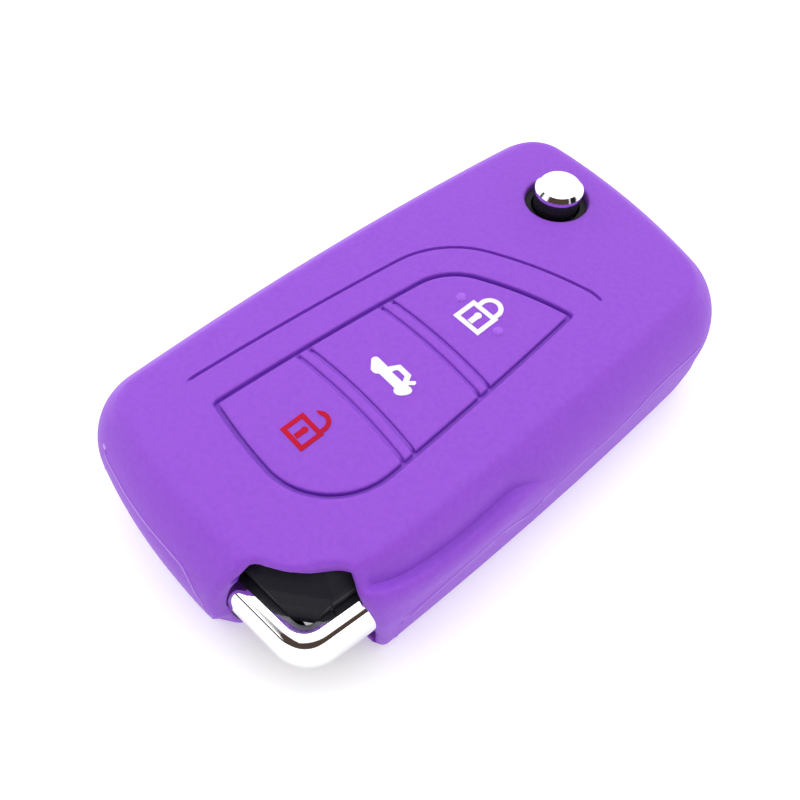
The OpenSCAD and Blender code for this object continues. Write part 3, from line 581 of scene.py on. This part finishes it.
# Most of a noise's values lie between these
NOISE_RANGE = (0.3, 0.7)


def new_material(name):
    m = bpy.data.materials.new(name)
    m.use_nodes = True
    tree = m.node_tree
    return m, tree, tree.nodes["Principled BSDF"]


def node(tree, kind, **values):
    n = tree.nodes.new(kind)
    for key, value in values.items():
        if hasattr(n, key):
            setattr(n, key, value)
        else:
            n.inputs[key.replace("_", " ")].default_value = value
    return n


def noise(tree, scale, detail):
    coords = node(tree, "ShaderNodeTexCoord").outputs["Object"]
    n = node(tree, "ShaderNodeTexNoise", Scale=scale, Detail=detail)
    tree.links.new(coords, n.inputs["Vector"])
    return n.outputs["Fac"]


def spread(tree, value, low, high, out_low, out_high):
    """Maps the range low to high onto out_low to out_high."""
    n = node(
        tree, "ShaderNodeMapRange", From_Min=low, From_Max=high, To_Min=out_low, To_Max=out_high
    )
    tree.links.new(value, n.inputs["Value"])
    return n.outputs["Result"]


def tint(tree, factor, a, b):
    """A colour between a and b."""
    n = node(tree, "ShaderNodeMix", data_type="RGBA")
    n.inputs[6].default_value = (*a, 1)
    n.inputs[7].default_value = (*b, 1)
    tree.links.new(factor, n.inputs[0])
    return n.outputs[2]


def bump(tree, bsdf, height, distance):
    n = node(tree, "ShaderNodeBump", Strength=1.0, Distance=distance)
    tree.links.new(height, n.inputs["Height"])
    tree.links.new(n.outputs["Normal"], bsdf.inputs["Normal"])


def finish_material(
    name,
    colour,
    other,
    rough,
    grain=900,
    depth=0.00001,
    patch=120,
    metal=0.0,
    rough_spread=0.05,
    **more,
):
    """A surface with patchy colour, uneven roughness and fine grain."""
    m, tree, bsdf = new_material(name)
    patches = spread(tree, noise(tree, patch, PATCH_DETAIL), *NOISE_RANGE, 0, 1)
    tree.links.new(tint(tree, patches, colour, other), bsdf.inputs["Base Color"])
    fine = noise(tree, grain, GRAIN_DETAIL)
    uneven = spread(tree, fine, *NOISE_RANGE, rough - rough_spread, rough + rough_spread)
    tree.links.new(uneven, bsdf.inputs["Roughness"])
    bump(tree, bsdf, fine, depth)
    bsdf.inputs["Metallic"].default_value = metal
    for key, value in more.items():
        bsdf.inputs[key.replace("_", " ")].default_value = value
    m.diffuse_color = (*colour, 1)
    return m


silicone = finish_material(
    "silicone",
    (0.245, 0.061, 0.57),
    (0.272, 0.07, 0.61),
    0.55,
    grain=5200,
    depth=0.00002,
    patch=1500,
    Specular_IOR_Level=0.25,
    Sheen_Weight=0.05,
    Sheen_Roughness=0.4,
    Subsurface_Weight=0.12,
    Subsurface_Scale=0.0008,
)
# The pads' silicone painted lighter on the raised dots: a painted highlight on the domes
silicone_dot_painted_highlight = finish_material(
    "silicone_dot_painted_highlight",
    (0.36, 0.12, 0.72),
    (0.34, 0.11, 0.7),
    0.5,
    grain=5200,
    patch=900,
    Specular_IOR_Level=0.2,
)
# The cover's silicone painted lighter on the mould lines: a painted highlight on the thin ridges
silicone_line_painted_highlight = finish_material(
    "silicone_line_painted_highlight",
    (0.5, 0.32, 0.74),
    (0.44, 0.25, 0.7),
    0.5,
    grain=5200,
    patch=900,
    Specular_IOR_Level=0.2,
)
chrome = finish_material(
    "chrome_mirror",
    (0.9, 0.91, 0.92),
    (0.86, 0.87, 0.89),
    0.045,
    grain=2600,
    depth=0.0000015,
    metal=1.0,
    rough_spread=0.02,
)
satin_chrome = finish_material(
    "chrome_satin",
    (0.8, 0.81, 0.83),
    (0.74, 0.75, 0.78),
    0.16,
    grain=3000,
    depth=0.000003,
    metal=1.0,
)
cap_chrome = finish_material(
    "chrome_cap",
    (0.86, 0.87, 0.88),
    (0.78, 0.79, 0.81),
    0.09,
    grain=1400,
    depth=0.000004,
    patch=400,
    metal=1.0,
    rough_spread=0.04,
)
case_black = finish_material(
    "case_black",
    (0.007, 0.007, 0.011),
    (0.011, 0.011, 0.017),
    0.45,
    grain=7000,
    depth=0.00003,
    Specular_IOR_Level=0.2,
)
black_smooth = finish_material(
    "black_smooth", (0.012, 0.012, 0.013), (0.018, 0.018, 0.02), 0.24, grain=3000, depth=0.000004
)
white_print = finish_material(
    "white_print", (0.82, 0.8, 0.88), (0.76, 0.74, 0.84), 0.5, grain=5000, depth=0.00001
)
red_print = finish_material(
    "red_print", (0.52, 0.002, 0.022), (0.36, 0.002, 0.03), 0.5, grain=5000, Specular_IOR_Level=0.1
)
steel = finish_material(
    "steel", (0.62, 0.62, 0.63), (0.5, 0.5, 0.51), 0.3, grain=2400, depth=0.000006, metal=1.0
)
blade_steel = finish_material(
    "blade_steel", (0.7, 0.7, 0.71), (0.6, 0.6, 0.62), 0.26, grain=1800, depth=0.000006, metal=1.0
)
dark_steel = finish_material(
    "dark_steel", (0.2, 0.2, 0.21), (0.14, 0.14, 0.15), 0.35, grain=2400, depth=0.000005, metal=1.0
)
brass = finish_material(
    "brass", (0.75, 0.52, 0.24), (0.68, 0.46, 0.2), 0.28, grain=2400, depth=0.000005, metal=1.0
)
board_green = finish_material(
    "board_green", (0.01, 0.12, 0.05), (0.012, 0.15, 0.06), 0.3, grain=1500, depth=0.00001
)
key_grey = finish_material(
    "key_grey", (0.08, 0.08, 0.085), (0.1, 0.1, 0.105), 0.4, grain=4000, depth=0.00001
)

NODE_LOOKS = {
    "upper_case": case_black,
    "lower_case": case_black,
    "case_screw": steel,
    "lock_key": key_grey,
    "trunk_key": key_grey,
    "unlock_key": key_grey,
    "circuit_board": board_green,
    "tact_switches": steel,
    "lock_plunger": black_smooth,
    "trunk_plunger": black_smooth,
    "unlock_plunger": black_smooth,
    "coin_cell": steel,
    "positive_contact": brass,
    "negative_contact": brass,
    "remote_chip": black_smooth,
    "crystal": steel,
    "transponder_chip": black_smooth,
    "blade_hub": black_smooth,
    "key_blade": blade_steel,
    "blade_pin": steel,
    "pivot_pin": steel,
    "torsion_spring": dark_steel,
    "release_button": cap_chrome,
    "release_plunger": black_smooth,
    "release_spring": dark_steel,
    "key_ring_bail": chrome,
    "bail_pins": steel,
    "lock_icon": white_print,
    "trunk_icon": white_print,
    "unlock_icon": red_print,
}
for name, look in NODE_LOOKS.items():
    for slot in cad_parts[name].material_slots:
        slot.material = look

# Fields on the cover's skin. Each gives a distance at every point, and FAR is added
# where a field must have no effect. STEEP ends a long line quickly.
FAR = 60.0
STEEP = 8
BACK_BELOW_Z = 12
TOP_ABOVE_Z = 14
RIGHT_FROM_X = 12
NEAR_UP_TO_Y = -30
MOAT = 0.6
MOAT_DEPTH = 0.72
SLIT_DEPTH = 0.34
# Width over which the moat's depth becomes that of the slits beside the ribs
FLOOR_RUN = 0.7
WALL_RUN = 0.06
RIB_W = 1.1
RIB_BOW = 0.6
SLIT = 0.5
EDGE_R = 0.22
panel_edge = panel_ring()


def below_top(p):
    """Keeps the fields of the top away from the back."""
    return FAR * (p[:, 2] < BACK_BELOW_Z)


def panel_d(p):
    """Signed distance from the panel's outer edge; negative inside."""
    return polygon_distance(p, panel_edge) + below_top(p)


def rib_d(p, y):
    """Distance from the middle of a bowed rib."""
    across = (p[:, 0] - PANEL[0]) / (PANEL_W / 2)
    return np.abs(p[:, 1] - y - RIB_BOW * (1 - across**2))


def ribs_d(p):
    """Distance from the nearer rib; negative on it."""
    return np.minimum(*[rib_d(p, y) for y in RIB_Y]) - RIB_W / 2


def pad_d(p):
    """Negative on the three pads."""
    return np.maximum(panel_d(p) + MOAT, SLIT - ribs_d(p))


def sunk(d, floor):
    """Depth beside a raised edge: a small round, then a steep wall to the floor."""
    wall = (floor - EDGE_R) * rise(-d, 0, WALL_RUN)
    return np.where(d > 0, fillet(d, EDGE_R), EDGE_R + wall)


GROOVE_DEPTH = 0.5
GROOVE_OUT = 4.3
GROOVE_START_Y = -26.3
GROOVE_END_X = 10.6
GROOVE_END = 0.5
GROOVE_WALL = (0.08, 0.25)


def groove_d(p):
    """Signed distance from the groove beside the panel's left and far sides."""
    short = np.maximum(0, GROOVE_START_Y - GROOVE_END - p[:, 1])
    past = np.maximum(0, p[:, 0] - GROOVE_END_X - GROOVE_END)
    return panel_d(p) - GROOVE_OUT + STEEP * (short + past)


def groove_drop(p):
    """How far the groove lies below the top."""
    fade = rise(p[:, 1], GROOVE_START_Y, GROOVE_START_Y + GROOVE_END)
    fade *= rise(GROOVE_END_X - p[:, 0], 0, GROOVE_END)
    return fade * GROOVE_DEPTH * (1 - rise(np.abs(groove_d(p)), *GROOVE_WALL))


DOTS = ((-1.18, 4.83), (5.45, 4.4))
DOT_R = 0.78
DOT_H = 0.42
# How far inside a dot's foot its painted highlight starts
DOT_EDGE = 0.2


def dot_d(p):
    """Distance in plan from the foot of the nearer dot; negative on it."""
    return np.minimum(*[np.hypot(p[:, 0] - x, p[:, 1] - y) for x, y in DOTS]) - DOT_R


HOLE_R = 4.25
HOLE_RIM = 0.35


def hole_d(p):
    """Negative in the hole of the release button."""
    return np.hypot(p[:, 0] - PIVOT[0], p[:, 1] - PIVOT[1]) - HOLE_R + below_top(p)


# The wavy edge over the case, from the left socket of the bail to the right one
SOCKET_X = 8.1
SOCKET_Y = -27.4
WAVE = smooth_path(
    [
        (SOCKET_X, -39.8),
        (8.1, -38.6),
        (8.15, -37.4),
        (8.5, -36.2),
        (8.75, -35),
        (8.7, -34.1),
        (9.1, -33.3),
        (10, -32.75),
        (10.85, -32.25),
        (11.7, -31.65),
        (12.4, -30.95),
        (12.9, -30.15),
        (13.35, -29.25),
        (13.85, -28.45),
        (14.45, -27.6),
        (15.25, -26.95),
        (16.2, -26.75),
        (17.3, -27),
        (18.2, -27.35),
        (19.4, -27.5),
        (22.2, SOCKET_Y),
    ],
    6,
)
# Corners far outside the cover, which close the wave's area
PAST_X = 60
PAST_Y = -90
wave_edge = np.concatenate([WAVE, [[PAST_X, SOCKET_Y], [PAST_X, PAST_Y], [SOCKET_X, PAST_Y]]])
WAVE_SOFT = 0.5
NOTCH_X = 7.9
NOTCH_Y = -27.7
NOTCH_SOFT = 0.4
CUTOUT_SOFT = 0.3


def cutout_d(p):
    """Negative where the bail's corner is open."""
    wave = smooth_max(polygon_distance(p, wave_edge), LIP - p[:, 2], WAVE_SOFT)
    along = p[:, 0] * math.cos(DIAG) + p[:, 1] * math.sin(DIAG)
    notch = RECESS_REACH - along
    for side in (NOTCH_X - p[:, 0], p[:, 1] - NOTCH_Y, p[:, 2] - RECESS_TOP):
        notch = smooth_max(notch, side, NOTCH_SOFT)
    return smooth_min(wave, notch, CUTOUT_SOFT)


# The blade's slot: its heights, where it starts on the left side, and how far it goes
# round the far side
SLOT_Z = (3.1, 9.3)
SLOT_START_Y = -22.6
SLOT_LEFT_X = -6
SLOT_FAR_Y = PIVOT[1] + 3
SLOT_END_X = 10.6
SLOT_SOFT = 0.8
SLOT_EDGE_SOFT = 0.01
SLOT_RIM = 0.25


def slot_d(p):
    """Negative where the blade's slot is open."""
    band = smooth_max(SLOT_Z[0] - p[:, 2], p[:, 2] - SLOT_Z[1], SLOT_EDGE_SOFT)
    left = np.maximum(SLOT_START_Y - p[:, 1], p[:, 0] - SLOT_LEFT_X)
    far = np.maximum(SLOT_FAR_Y - p[:, 1], p[:, 0] - SLOT_END_X)
    return smooth_max(band, np.minimum(left, far), SLOT_SOFT)


# The mould lines: heights along x on the near side, and along y on the right side
NEAR_LINE = smooth_path(
    [
        (-14.56, 14),
        (-13.61, 13.24),
        (-11.76, 13.18),
        (-7.65, 13.1),
        (-3.24, 13.32),
        (0.19, 13.53),
        (2.46, 13.54),
        (3.22, 13.34),
        (4.51, 12.52),
        (5.67, 11.58),
        (6.61, 11.09),
    ],
    4,
)
RIGHT_LINE = smooth_path(
    [
        (-24.49, 6.42),
        (-22.13, 6.88),
        (-19.33, 7.52),
        (-16.48, 8.12),
        (-13.59, 8.66),
        (-10.6, 9.09),
        (-8.5, 8.67),
        (-6.5, 7.59),
        (-4.93, 7.23),
        (-3.7, 7.69),
        (-3.1, 8.7),
        (-0.87, 9.16),
        (3.04, 9.59),
        (5.58, 9.6),
        (9.31, 9.67),
        (15.09, 10.73),
        (18.82, 11.03),
        (24.17, 10.91),
        (26.28, 11.15),
    ],
    4,
)
# The mould lines' height, the width of the painted highlight along them, and where their edge runs
# out
LINE_H = 0.07
LINE_W = 0.08
LINE_EDGE = (0.04, 0.15)
# The crease on the right shoulder: heights along y
CREASE = smooth_path(
    [
        (-27.2, 15.3),
        (-26.19, 15.4),
        (-24.01, 14.55),
        (-22.7, 14.18),
        (-21.17, 13.87),
        (-18.65, 13.58),
        (-15.95, 13.45),
        (-13.1, 13.51),
        (-10.12, 13.67),
        (-7.81, 13.81),
        (-5.64, 13.43),
        (-3.95, 12.69),
        (-2.5, 12.2),
    ],
    4,
)
CREASE_DEPTH = 0.85
CREASE_SWELL = 0.45
# Heights over the crease between which its shape changes
CREASE_SLOPE = (-0.1, 2.6)
CREASE_DROP = (-0.4, 0)
SWELL_IN = (-4.5, -1.2)
SWELL_OUT = (-0.8, 0)
CREASE_NEAR = (-27.6, -25.8)
CREASE_FAR = (-9, -2.5)
# Soft rims of the bail's sockets and of the wave, and the heights between which one
# becomes the other
RIM_R = 1.25
WAVE_R = 0.8
RIM_CHANGE_Z = (12.2, 15.8)


def height_over(line, along, z):
    """Signed distance from a line that is given as heights along one direction."""
    slope = np.interp(along, line[:, 0], np.gradient(line[:, 1], line[:, 0]))
    d = (z - np.interp(along, line[:, 0], line[:, 1])) / np.sqrt(1 + slope**2)
    return d + STEEP * np.maximum(0, np.maximum(line[0, 0] - along, along - line[-1, 0]))


def near_line_d(p):
    return height_over(NEAR_LINE, p[:, 0], p[:, 2]) + FAR * (p[:, 1] > NEAR_UP_TO_Y)


def right_line_d(p):
    return height_over(RIGHT_LINE, p[:, 1], p[:, 2]) + FAR * (p[:, 0] < RIGHT_FROM_X)


def line_d(p):
    """Distance from the nearer mould line."""
    return np.minimum(np.abs(near_line_d(p)), np.abs(right_line_d(p)))


def crease_d(p):
    """Height above the crease of the right shoulder; large away from it."""
    middle = np.interp(p[:, 1], CREASE[:, 0], CREASE[:, 1])
    return p[:, 2] - middle + FAR * (p[:, 0] < RIGHT_FROM_X)


def crease_depth(p):
    """A soft slope above the crease, a quick rise and a swelling below it."""
    above = crease_d(p)
    shape = CREASE_DEPTH * (1 - rise(above, *CREASE_SLOPE)) * rise(above, *CREASE_DROP)
    swell = CREASE_SWELL * rise(above, *SWELL_IN) * (1 - rise(above, *SWELL_OUT))
    fade = rise(p[:, 1], *CREASE_NEAR) * (1 - rise(p[:, 1], *CREASE_FAR))
    return (shape - swell) * fade


def rim_radius(p):
    """The bail's sockets have a wide soft rim and the wave above them a small one."""
    return RIM_R + (WAVE_R - RIM_R) * rise(p[:, 2], *RIM_CHANGE_Z)


# Level lines of each field that the skin is cut along, so that its edges come out sharp
PANEL_CUTS = (0.22, 0.12, 0.05, 0, -0.06, -0.54, -0.57, -0.6, -0.65, -0.72, -0.82)
RIB_CUTS = (0.33, 0.43, 0.5, 0.55, 0.61, 1.02, 1.05, 1.1, 1.17, 1.27)
GROOVE_CUTS = (-0.36, -0.25, -0.17, -0.08, 0, 0.08, 0.17, 0.25, 0.36)
DOT_CUTS = (-0.6, -0.42, -0.26, -0.12, 0)
HOLE_CUTS = (0, 0.04, 0.1, 0.2, 0.35)
CREASE_CUTS = (-2.2, -1.2, -0.6, -0.4, -0.3, -0.2, -0.1, 0, 0.15, 0.3, 0.6, 1, 1.5, 2)
LINE_CUTS = (-0.15, -0.08, -0.04, 0.04, 0.08, 0.15)
CUTOUT_CUTS = (0, 0.04, 0.1, 0.2, 0.35, 0.55, 0.85, 1.25)
SLOT_CUTS = (0, 0.05, 0.12, 0.25)
# How far past the panel's edge the cuts of the ribs run
RIB_PAST = 0.05


def cut_skin():
    skin = body_skin()
    skin.cut(panel_d, PANEL_CUTS)
    for y in RIB_Y:
        skin.cut(
            lambda p, y=y: rib_d(p, y) + STEEP * np.maximum(0, panel_d(p) - RIB_PAST),
            RIB_CUTS,
        )
    skin.cut(groove_d, GROOVE_CUTS)
    skin.cut(dot_d, DOT_CUTS)
    skin.cut(hole_d, HOLE_CUTS)
    skin.cut(crease_d, CREASE_CUTS)
    for line in (near_line_d, right_line_d):
        skin.cut(line, LINE_CUTS, LINE_SNAP)
    skin.cut(cutout_d, CUTOUT_CUTS)
    skin.cut(slot_d, SLOT_CUTS)
    return skin


def top_drop(p):
    """How far the moat, the slits and the groove lie below the top."""
    d = panel_d(p)
    rib = np.maximum(d + MOAT, ribs_d(p))
    floor = MOAT_DEPTH + (SLIT_DEPTH - MOAT_DEPTH) * rise(-d, MOAT, MOAT + FLOOR_RUN)
    return np.minimum(sunk(d, floor), sunk(-rib, floor)) + groove_drop(p)


def pulled_in(p):
    """How far the skin is pulled in: the round rims, the crease and the mould lines."""
    inward = fillet(hole_d(p), HOLE_RIM) + fillet(cutout_d(p), rim_radius(p))
    inward += fillet(slot_d(p), SLOT_RIM) + crease_depth(p)
    return inward - LINE_H * (1 - rise(line_d(p), *LINE_EDGE))


# Lowest height of the cover's inner face, and of the pads' undersides
INNER_Z = 0.8
PAD_UNDER_Z = 15.85
# Where the rows of points in the cut edges of the cover and of the pads lie
COVER_EDGE_ROW = 0.35
PAD_EDGE_ROW = 0.15
# Gap between a pad and the cover
PAD_GAP = 0.03


def build_cover_body(skin, f):
    p = skin.p
    outer = p - skin.n * pulled_in(p)[:, None]
    outer[:, 2] = np.maximum(outer[:, 2] - top_drop(p), 0)
    inner = p - skin.n * WALL
    inner[:, 2] = np.maximum(inner[:, 2], INNER_Z)
    o, k, i = used_only(outer, f, inner)
    points, faces = shell(o, i, k, COVER_EDGE_ROW)
    cover = add_mesh("cover", points, faces, silicone)
    # Painted highlight: the lighter silicone on the faces of the mould lines
    give_faces(cover, silicone_line_painted_highlight, line_d(p[f].mean(1)) < LINE_W)
    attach(cover, "cover")
    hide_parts("cover_shell")


def build_pad(name, body, skin, f):
    """One soft pad, with the raised dots on it."""
    p = skin.p
    top = p.copy()
    dot = np.clip(1 + dot_d(p) / DOT_R, 0, 1)
    top[:, 2] += DOT_H * (1 - dot**3) ** 2 - fillet(-pad_d(p), EDGE_R)
    o, k = used_only(top, f)
    under = o.copy()
    under[:, 2] = PAD_UNDER_Z
    points, faces = shell(o, under, k, PAD_EDGE_ROW)
    piece = add_mesh(name + "_soft", points, faces, silicone)
    # Painted highlight: the lighter silicone on the tops of the dots
    give_faces(piece, silicone_dot_painted_highlight, dot_d(p[f].mean(1)) < -DOT_EDGE)
    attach(piece, body)
    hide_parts(name)


def build_cover():
    """The cover and the three pads, all cut from one skin."""
    skin = cut_skin()
    f = skin.f
    middle = skin.p[f].mean(1)
    on_top = middle[:, 2] > TOP_ABOVE_Z
    pad = pad_d(middle)
    gap = (pad < PAD_GAP) & on_top
    cut = ((hole_d(middle) < 0) & on_top) | (cutout_d(middle) < 0) | (slot_d(middle) < 0)
    build_cover_body(skin, f[~gap & ~cut])
    is_pad = (pad < 0) & on_top
    lock = middle[:, 1] > RIB_Y[1]
    unlock = middle[:, 1] < RIB_Y[0]
    build_pad("lock_pad", "lock_button", skin, f[is_pad & lock])
    build_pad("trunk_pad", "trunk_button", skin, f[is_pad & ~lock & ~unlock])
    build_pad("unlock_pad", "unlock_button", skin, f[is_pad & unlock])


build_cover()


# The bail's bar: its depth, its height, the height of its middle, the radius inside its
# bend, and how far its legs lean from straight along and across
BAR = 3.25
BAR_H = 7.0
BAR_Z = 9.0
BAR_INNER_R = 1.72
BAR_LEAN = math.radians(6)
# The round outer side of the bar: its depth, the power of its curve and its steps
ROUND_DEPTH = 2.0
ROUND_POWER = 2.35
ROUND_STEPS = 32
# The inner side: a round below, and a flat bevel between two small rounds above
LOWER_R = 0.3
LOWER_STEPS = 4
UPPER_R = 0.1
UPPER_STEPS = 3
BEVEL_DEPTH = 1.0
BEVEL_DROP = 0.45
BEVEL_TILT = 0.36
# Where the two legs end, in the cover's sockets
LEG_END_X = 6.6
LEG_END_Y = -26.6
NEAR_LEG_STEPS = 10
SIDE_LEG_STEPS = 8
BEND_STEPS = 28
BAIL_SMOOTH_ANGLE = 50
QUARTER = math.pi / 2


def bar_section():
    """Depths from the bend's centre and heights from the bar's middle."""
    inner, half = BAR_INNER_R, BAR_H / 2
    start = inner + BAR - ROUND_DEPTH
    points = []
    for k in range(ROUND_STEPS + 1):
        t = 2 * QUARTER * k / ROUND_STEPS
        out = abs(math.sin(t)) ** (2 / ROUND_POWER)
        up = math.copysign(abs(math.cos(t)) ** (2 / ROUND_POWER), math.cos(t))
        points.append((start + ROUND_DEPTH * out, half * up))
    bevel_end = QUARTER + BEVEL_TILT
    for x, z, r, a0, a1, n in (
        (inner + LOWER_R, LOWER_R - half, LOWER_R, 3 * QUARTER, 2 * QUARTER, LOWER_STEPS),
        (inner + UPPER_R, half - BEVEL_DROP, UPPER_R, 2 * QUARTER, bevel_end, UPPER_STEPS),
        (inner + BEVEL_DEPTH, half - UPPER_R, UPPER_R, bevel_end, QUARTER, UPPER_STEPS),
    ):
        angles = [a0 + (a1 - a0) * k / n for k in range(n + 1)]
        points += [(x + r * math.cos(a), z + r * math.sin(a)) for a in angles]
    return np.array(points)


def bar_stations():
    """Where the bar's sections stand, from the end of one leg to the end of the other.

    Each is the direction outward and the distance along the leg from the bend.
    """
    near, side = BAR_LEAN - QUARTER, -BAR_LEAN
    middle_r = BAR_INNER_R + BAR / 2
    leg_near = (BAIL_C[0] + middle_r * math.cos(near) - LEG_END_X) / math.cos(BAR_LEAN)
    leg_side = (LEG_END_Y - BAIL_C[1] - middle_r * math.sin(side)) / math.cos(BAR_LEAN)
    out = [(near, -leg_near * (1 - k / NEAR_LEG_STEPS)) for k in range(NEAR_LEG_STEPS)]
    out += [(near + (side - near) * k / BEND_STEPS, 0.0) for k in range(BEND_STEPS + 1)]
    out += [(side, leg_side * (k + 1) / SIDE_LEG_STEPS) for k in range(SIDE_LEG_STEPS)]
    return out


def build_bail():
    section = bar_section()
    rings = []
    for angle, along in bar_stations():
        out = np.array([math.cos(angle), math.sin(angle)])
        plan = BAIL_C + section[:, :1] * out + along * turn(out)
        rings.append(np.column_stack([plan, BAR_Z + section[:, 1]]))
    n, m = len(section), len(rings)
    faces = []
    for i in range(m - 1):
        for j in range(n):
            k = (j + 1) % n
            faces.append((i * n + j, i * n + k, (i + 1) * n + k, (i + 1) * n + j))
    faces.append(tuple(range(n))[::-1])
    faces.append(tuple((m - 1) * n + j for j in range(n)))
    points = np.concatenate(rings)
    bail = add_mesh("bail_bar", points, faces, chrome, BAIL_SMOOTH_ANGLE)
    bevel = n - UPPER_STEPS - 2
    give_faces(bail, satin_chrome, np.arange((m - 1) * n) % n == bevel)
    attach(bail, "cover")
    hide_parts("key_ring_bail")


build_bail()


# Black floor of the case round the key-ring hole, seen past the roof's edge
SILL_OUT = (
    (6.9, -33.5),
    (13.6, -33.7),
    (15.4, -33.2),
    (16.1, -31.5),
    (16.1, -27.9),
    (13.0, -25.5),
    (8.5, -27.0),
    (6.6, -30.5),
)
SILL_IN = (
    (11.3, -31.8),
    (11.9, -32.4),
    (14.6, -32.4),
    (15.2, -31.8),
    (15.2, -29.5),
    (14.6, -28.9),
    (11.9, -28.9),
    (11.3, -29.5),
)
SILL_Z = (6.1, 4.9)


def build_sill():
    n = len(SILL_OUT)
    top, under = SILL_Z
    loops = ((SILL_OUT, top), (SILL_IN, top), (SILL_IN, under), (SILL_OUT, under))
    points = [(x, y, z) for loop, z in loops for x, y in loop]
    faces = []
    for i in range(len(loops)):
        a, b = i * n, (i + 1) % len(loops) * n
        for j in range(n):
            k = (j + 1) % n
            faces.append((a + j, a + k, b + k, b + j))
    sill = add_mesh("case_sill", points, faces, case_black)
    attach(sill, "cover")


build_sill()


# Floor, light and camera
FLOOR_HALF = 1500.0
# The studio's dark forms, which the chrome reflects: direction, half angle, soft edge
# and colour
DARK_SPOTS = (
    ((0.393, -0.360, 0.846), 36, 6, (0.05, 0.032, 0.025)),
    ((-0.393, -0.766, 0.506), 9, 1, (0.01, 0.01, 0.01)),
    ((0.76, 0.36, 0.537), 9, 1, (0.01, 0.01, 0.01)),
)
# Brightness of the sky by height, from a paler horizon, with one dark band
HORIZON = (0.75, 0.75, 0.77, 1)
FULL_FROM = 0.4
DARK_BAND = 0.01
SKY = ((0.43, 1), (0.45, DARK_BAND), (0.59, DARK_BAND), (0.61, 1))
SKY_STRENGTH = 1.74
# Area lights that aim at the middle of the floor: name, place, size and watts
LIGHTS = (
    ("top_light", (40, 60, 520), 500, 1.0),
    ("fill_light", (-420, -120, 300), 300, 0.3),
)


def build_floor():
    look = finish_material(
        "floor",
        (0.86, 0.86, 0.865),
        (0.87, 0.87, 0.87),
        0.6,
        grain=300,
        depth=0.000002,
        patch=4,
        Emission_Color=(1, 1, 1, 1),
        Emission_Strength=0.3,
    )
    corners = ((-1, -1), (1, -1), (1, 1), (-1, 1))
    points = [(FLOOR_HALF * x, FLOOR_HALF * y, 0) for x, y in corners]
    add_mesh("floor", points, [(0, 1, 2, 3)], look)


def darken(tree, coords, colour, spot, wide, soft, dark):
    """The sky's colour with one dark spot in it."""
    dot = node(tree, "ShaderNodeVectorMath", operation="DOT_PRODUCT")
    tree.links.new(coords, dot.inputs[0])
    dot.inputs[1].default_value = np.array(spot) / np.linalg.norm(spot)
    low, high = math.cos(math.radians(wide + soft)), math.cos(math.radians(wide))
    shade = node(tree, "ShaderNodeMix", data_type="RGBA")
    shade.inputs[7].default_value = (*dark, 1)
    tree.links.new(spread(tree, dot.outputs["Value"], low, high, 0, 1), shade.inputs[0])
    tree.links.new(colour, shade.inputs[6])
    return shade.outputs[2]


def build_sky():
    world = bpy.data.worlds.new("studio")
    bpy.context.scene.world = world
    world.use_nodes = True
    tree = world.node_tree
    coords = node(tree, "ShaderNodeTexCoord").outputs["Generated"]
    split = node(tree, "ShaderNodeSeparateXYZ")
    tree.links.new(coords, split.inputs[0])
    ramp = node(tree, "ShaderNodeValToRGB")
    tree.links.new(split.outputs["Z"], ramp.inputs["Fac"])
    stops = ramp.color_ramp.elements
    stops[0].position, stops[0].color = 0.0, HORIZON
    stops[1].position, stops[1].color = FULL_FROM, (1, 1, 1, 1)
    for place, level in SKY:
        stops.new(place).color = (level, level, level, 1)
    colour = ramp.outputs["Color"]
    for spot in DARK_SPOTS:
        colour = darken(tree, coords, colour, *spot)
    back = tree.nodes["Background"]
    tree.links.new(colour, back.inputs["Color"])
    back.inputs["Strength"].default_value = SKY_STRENGTH


def area_light(name, place, size, watts):
    data = bpy.data.lights.new(name, "AREA")
    data.shape = "RECTANGLE"
    data.size = data.size_y = size * MM
    data.energy = watts
    light = bpy.data.objects.new(name, data)
    light.location = Vector(place) * MM
    light.rotation_mode = "QUATERNION"
    light.rotation_quaternion = (-light.location).to_track_quat("-Z", "Y")
    bpy.context.scene.collection.objects.link(light)


build_floor()
build_sky()
for light in LIGHTS:
    area_light(*light)
aim_camera()
bpy.context.scene.view_settings.view_transform = "Standard"
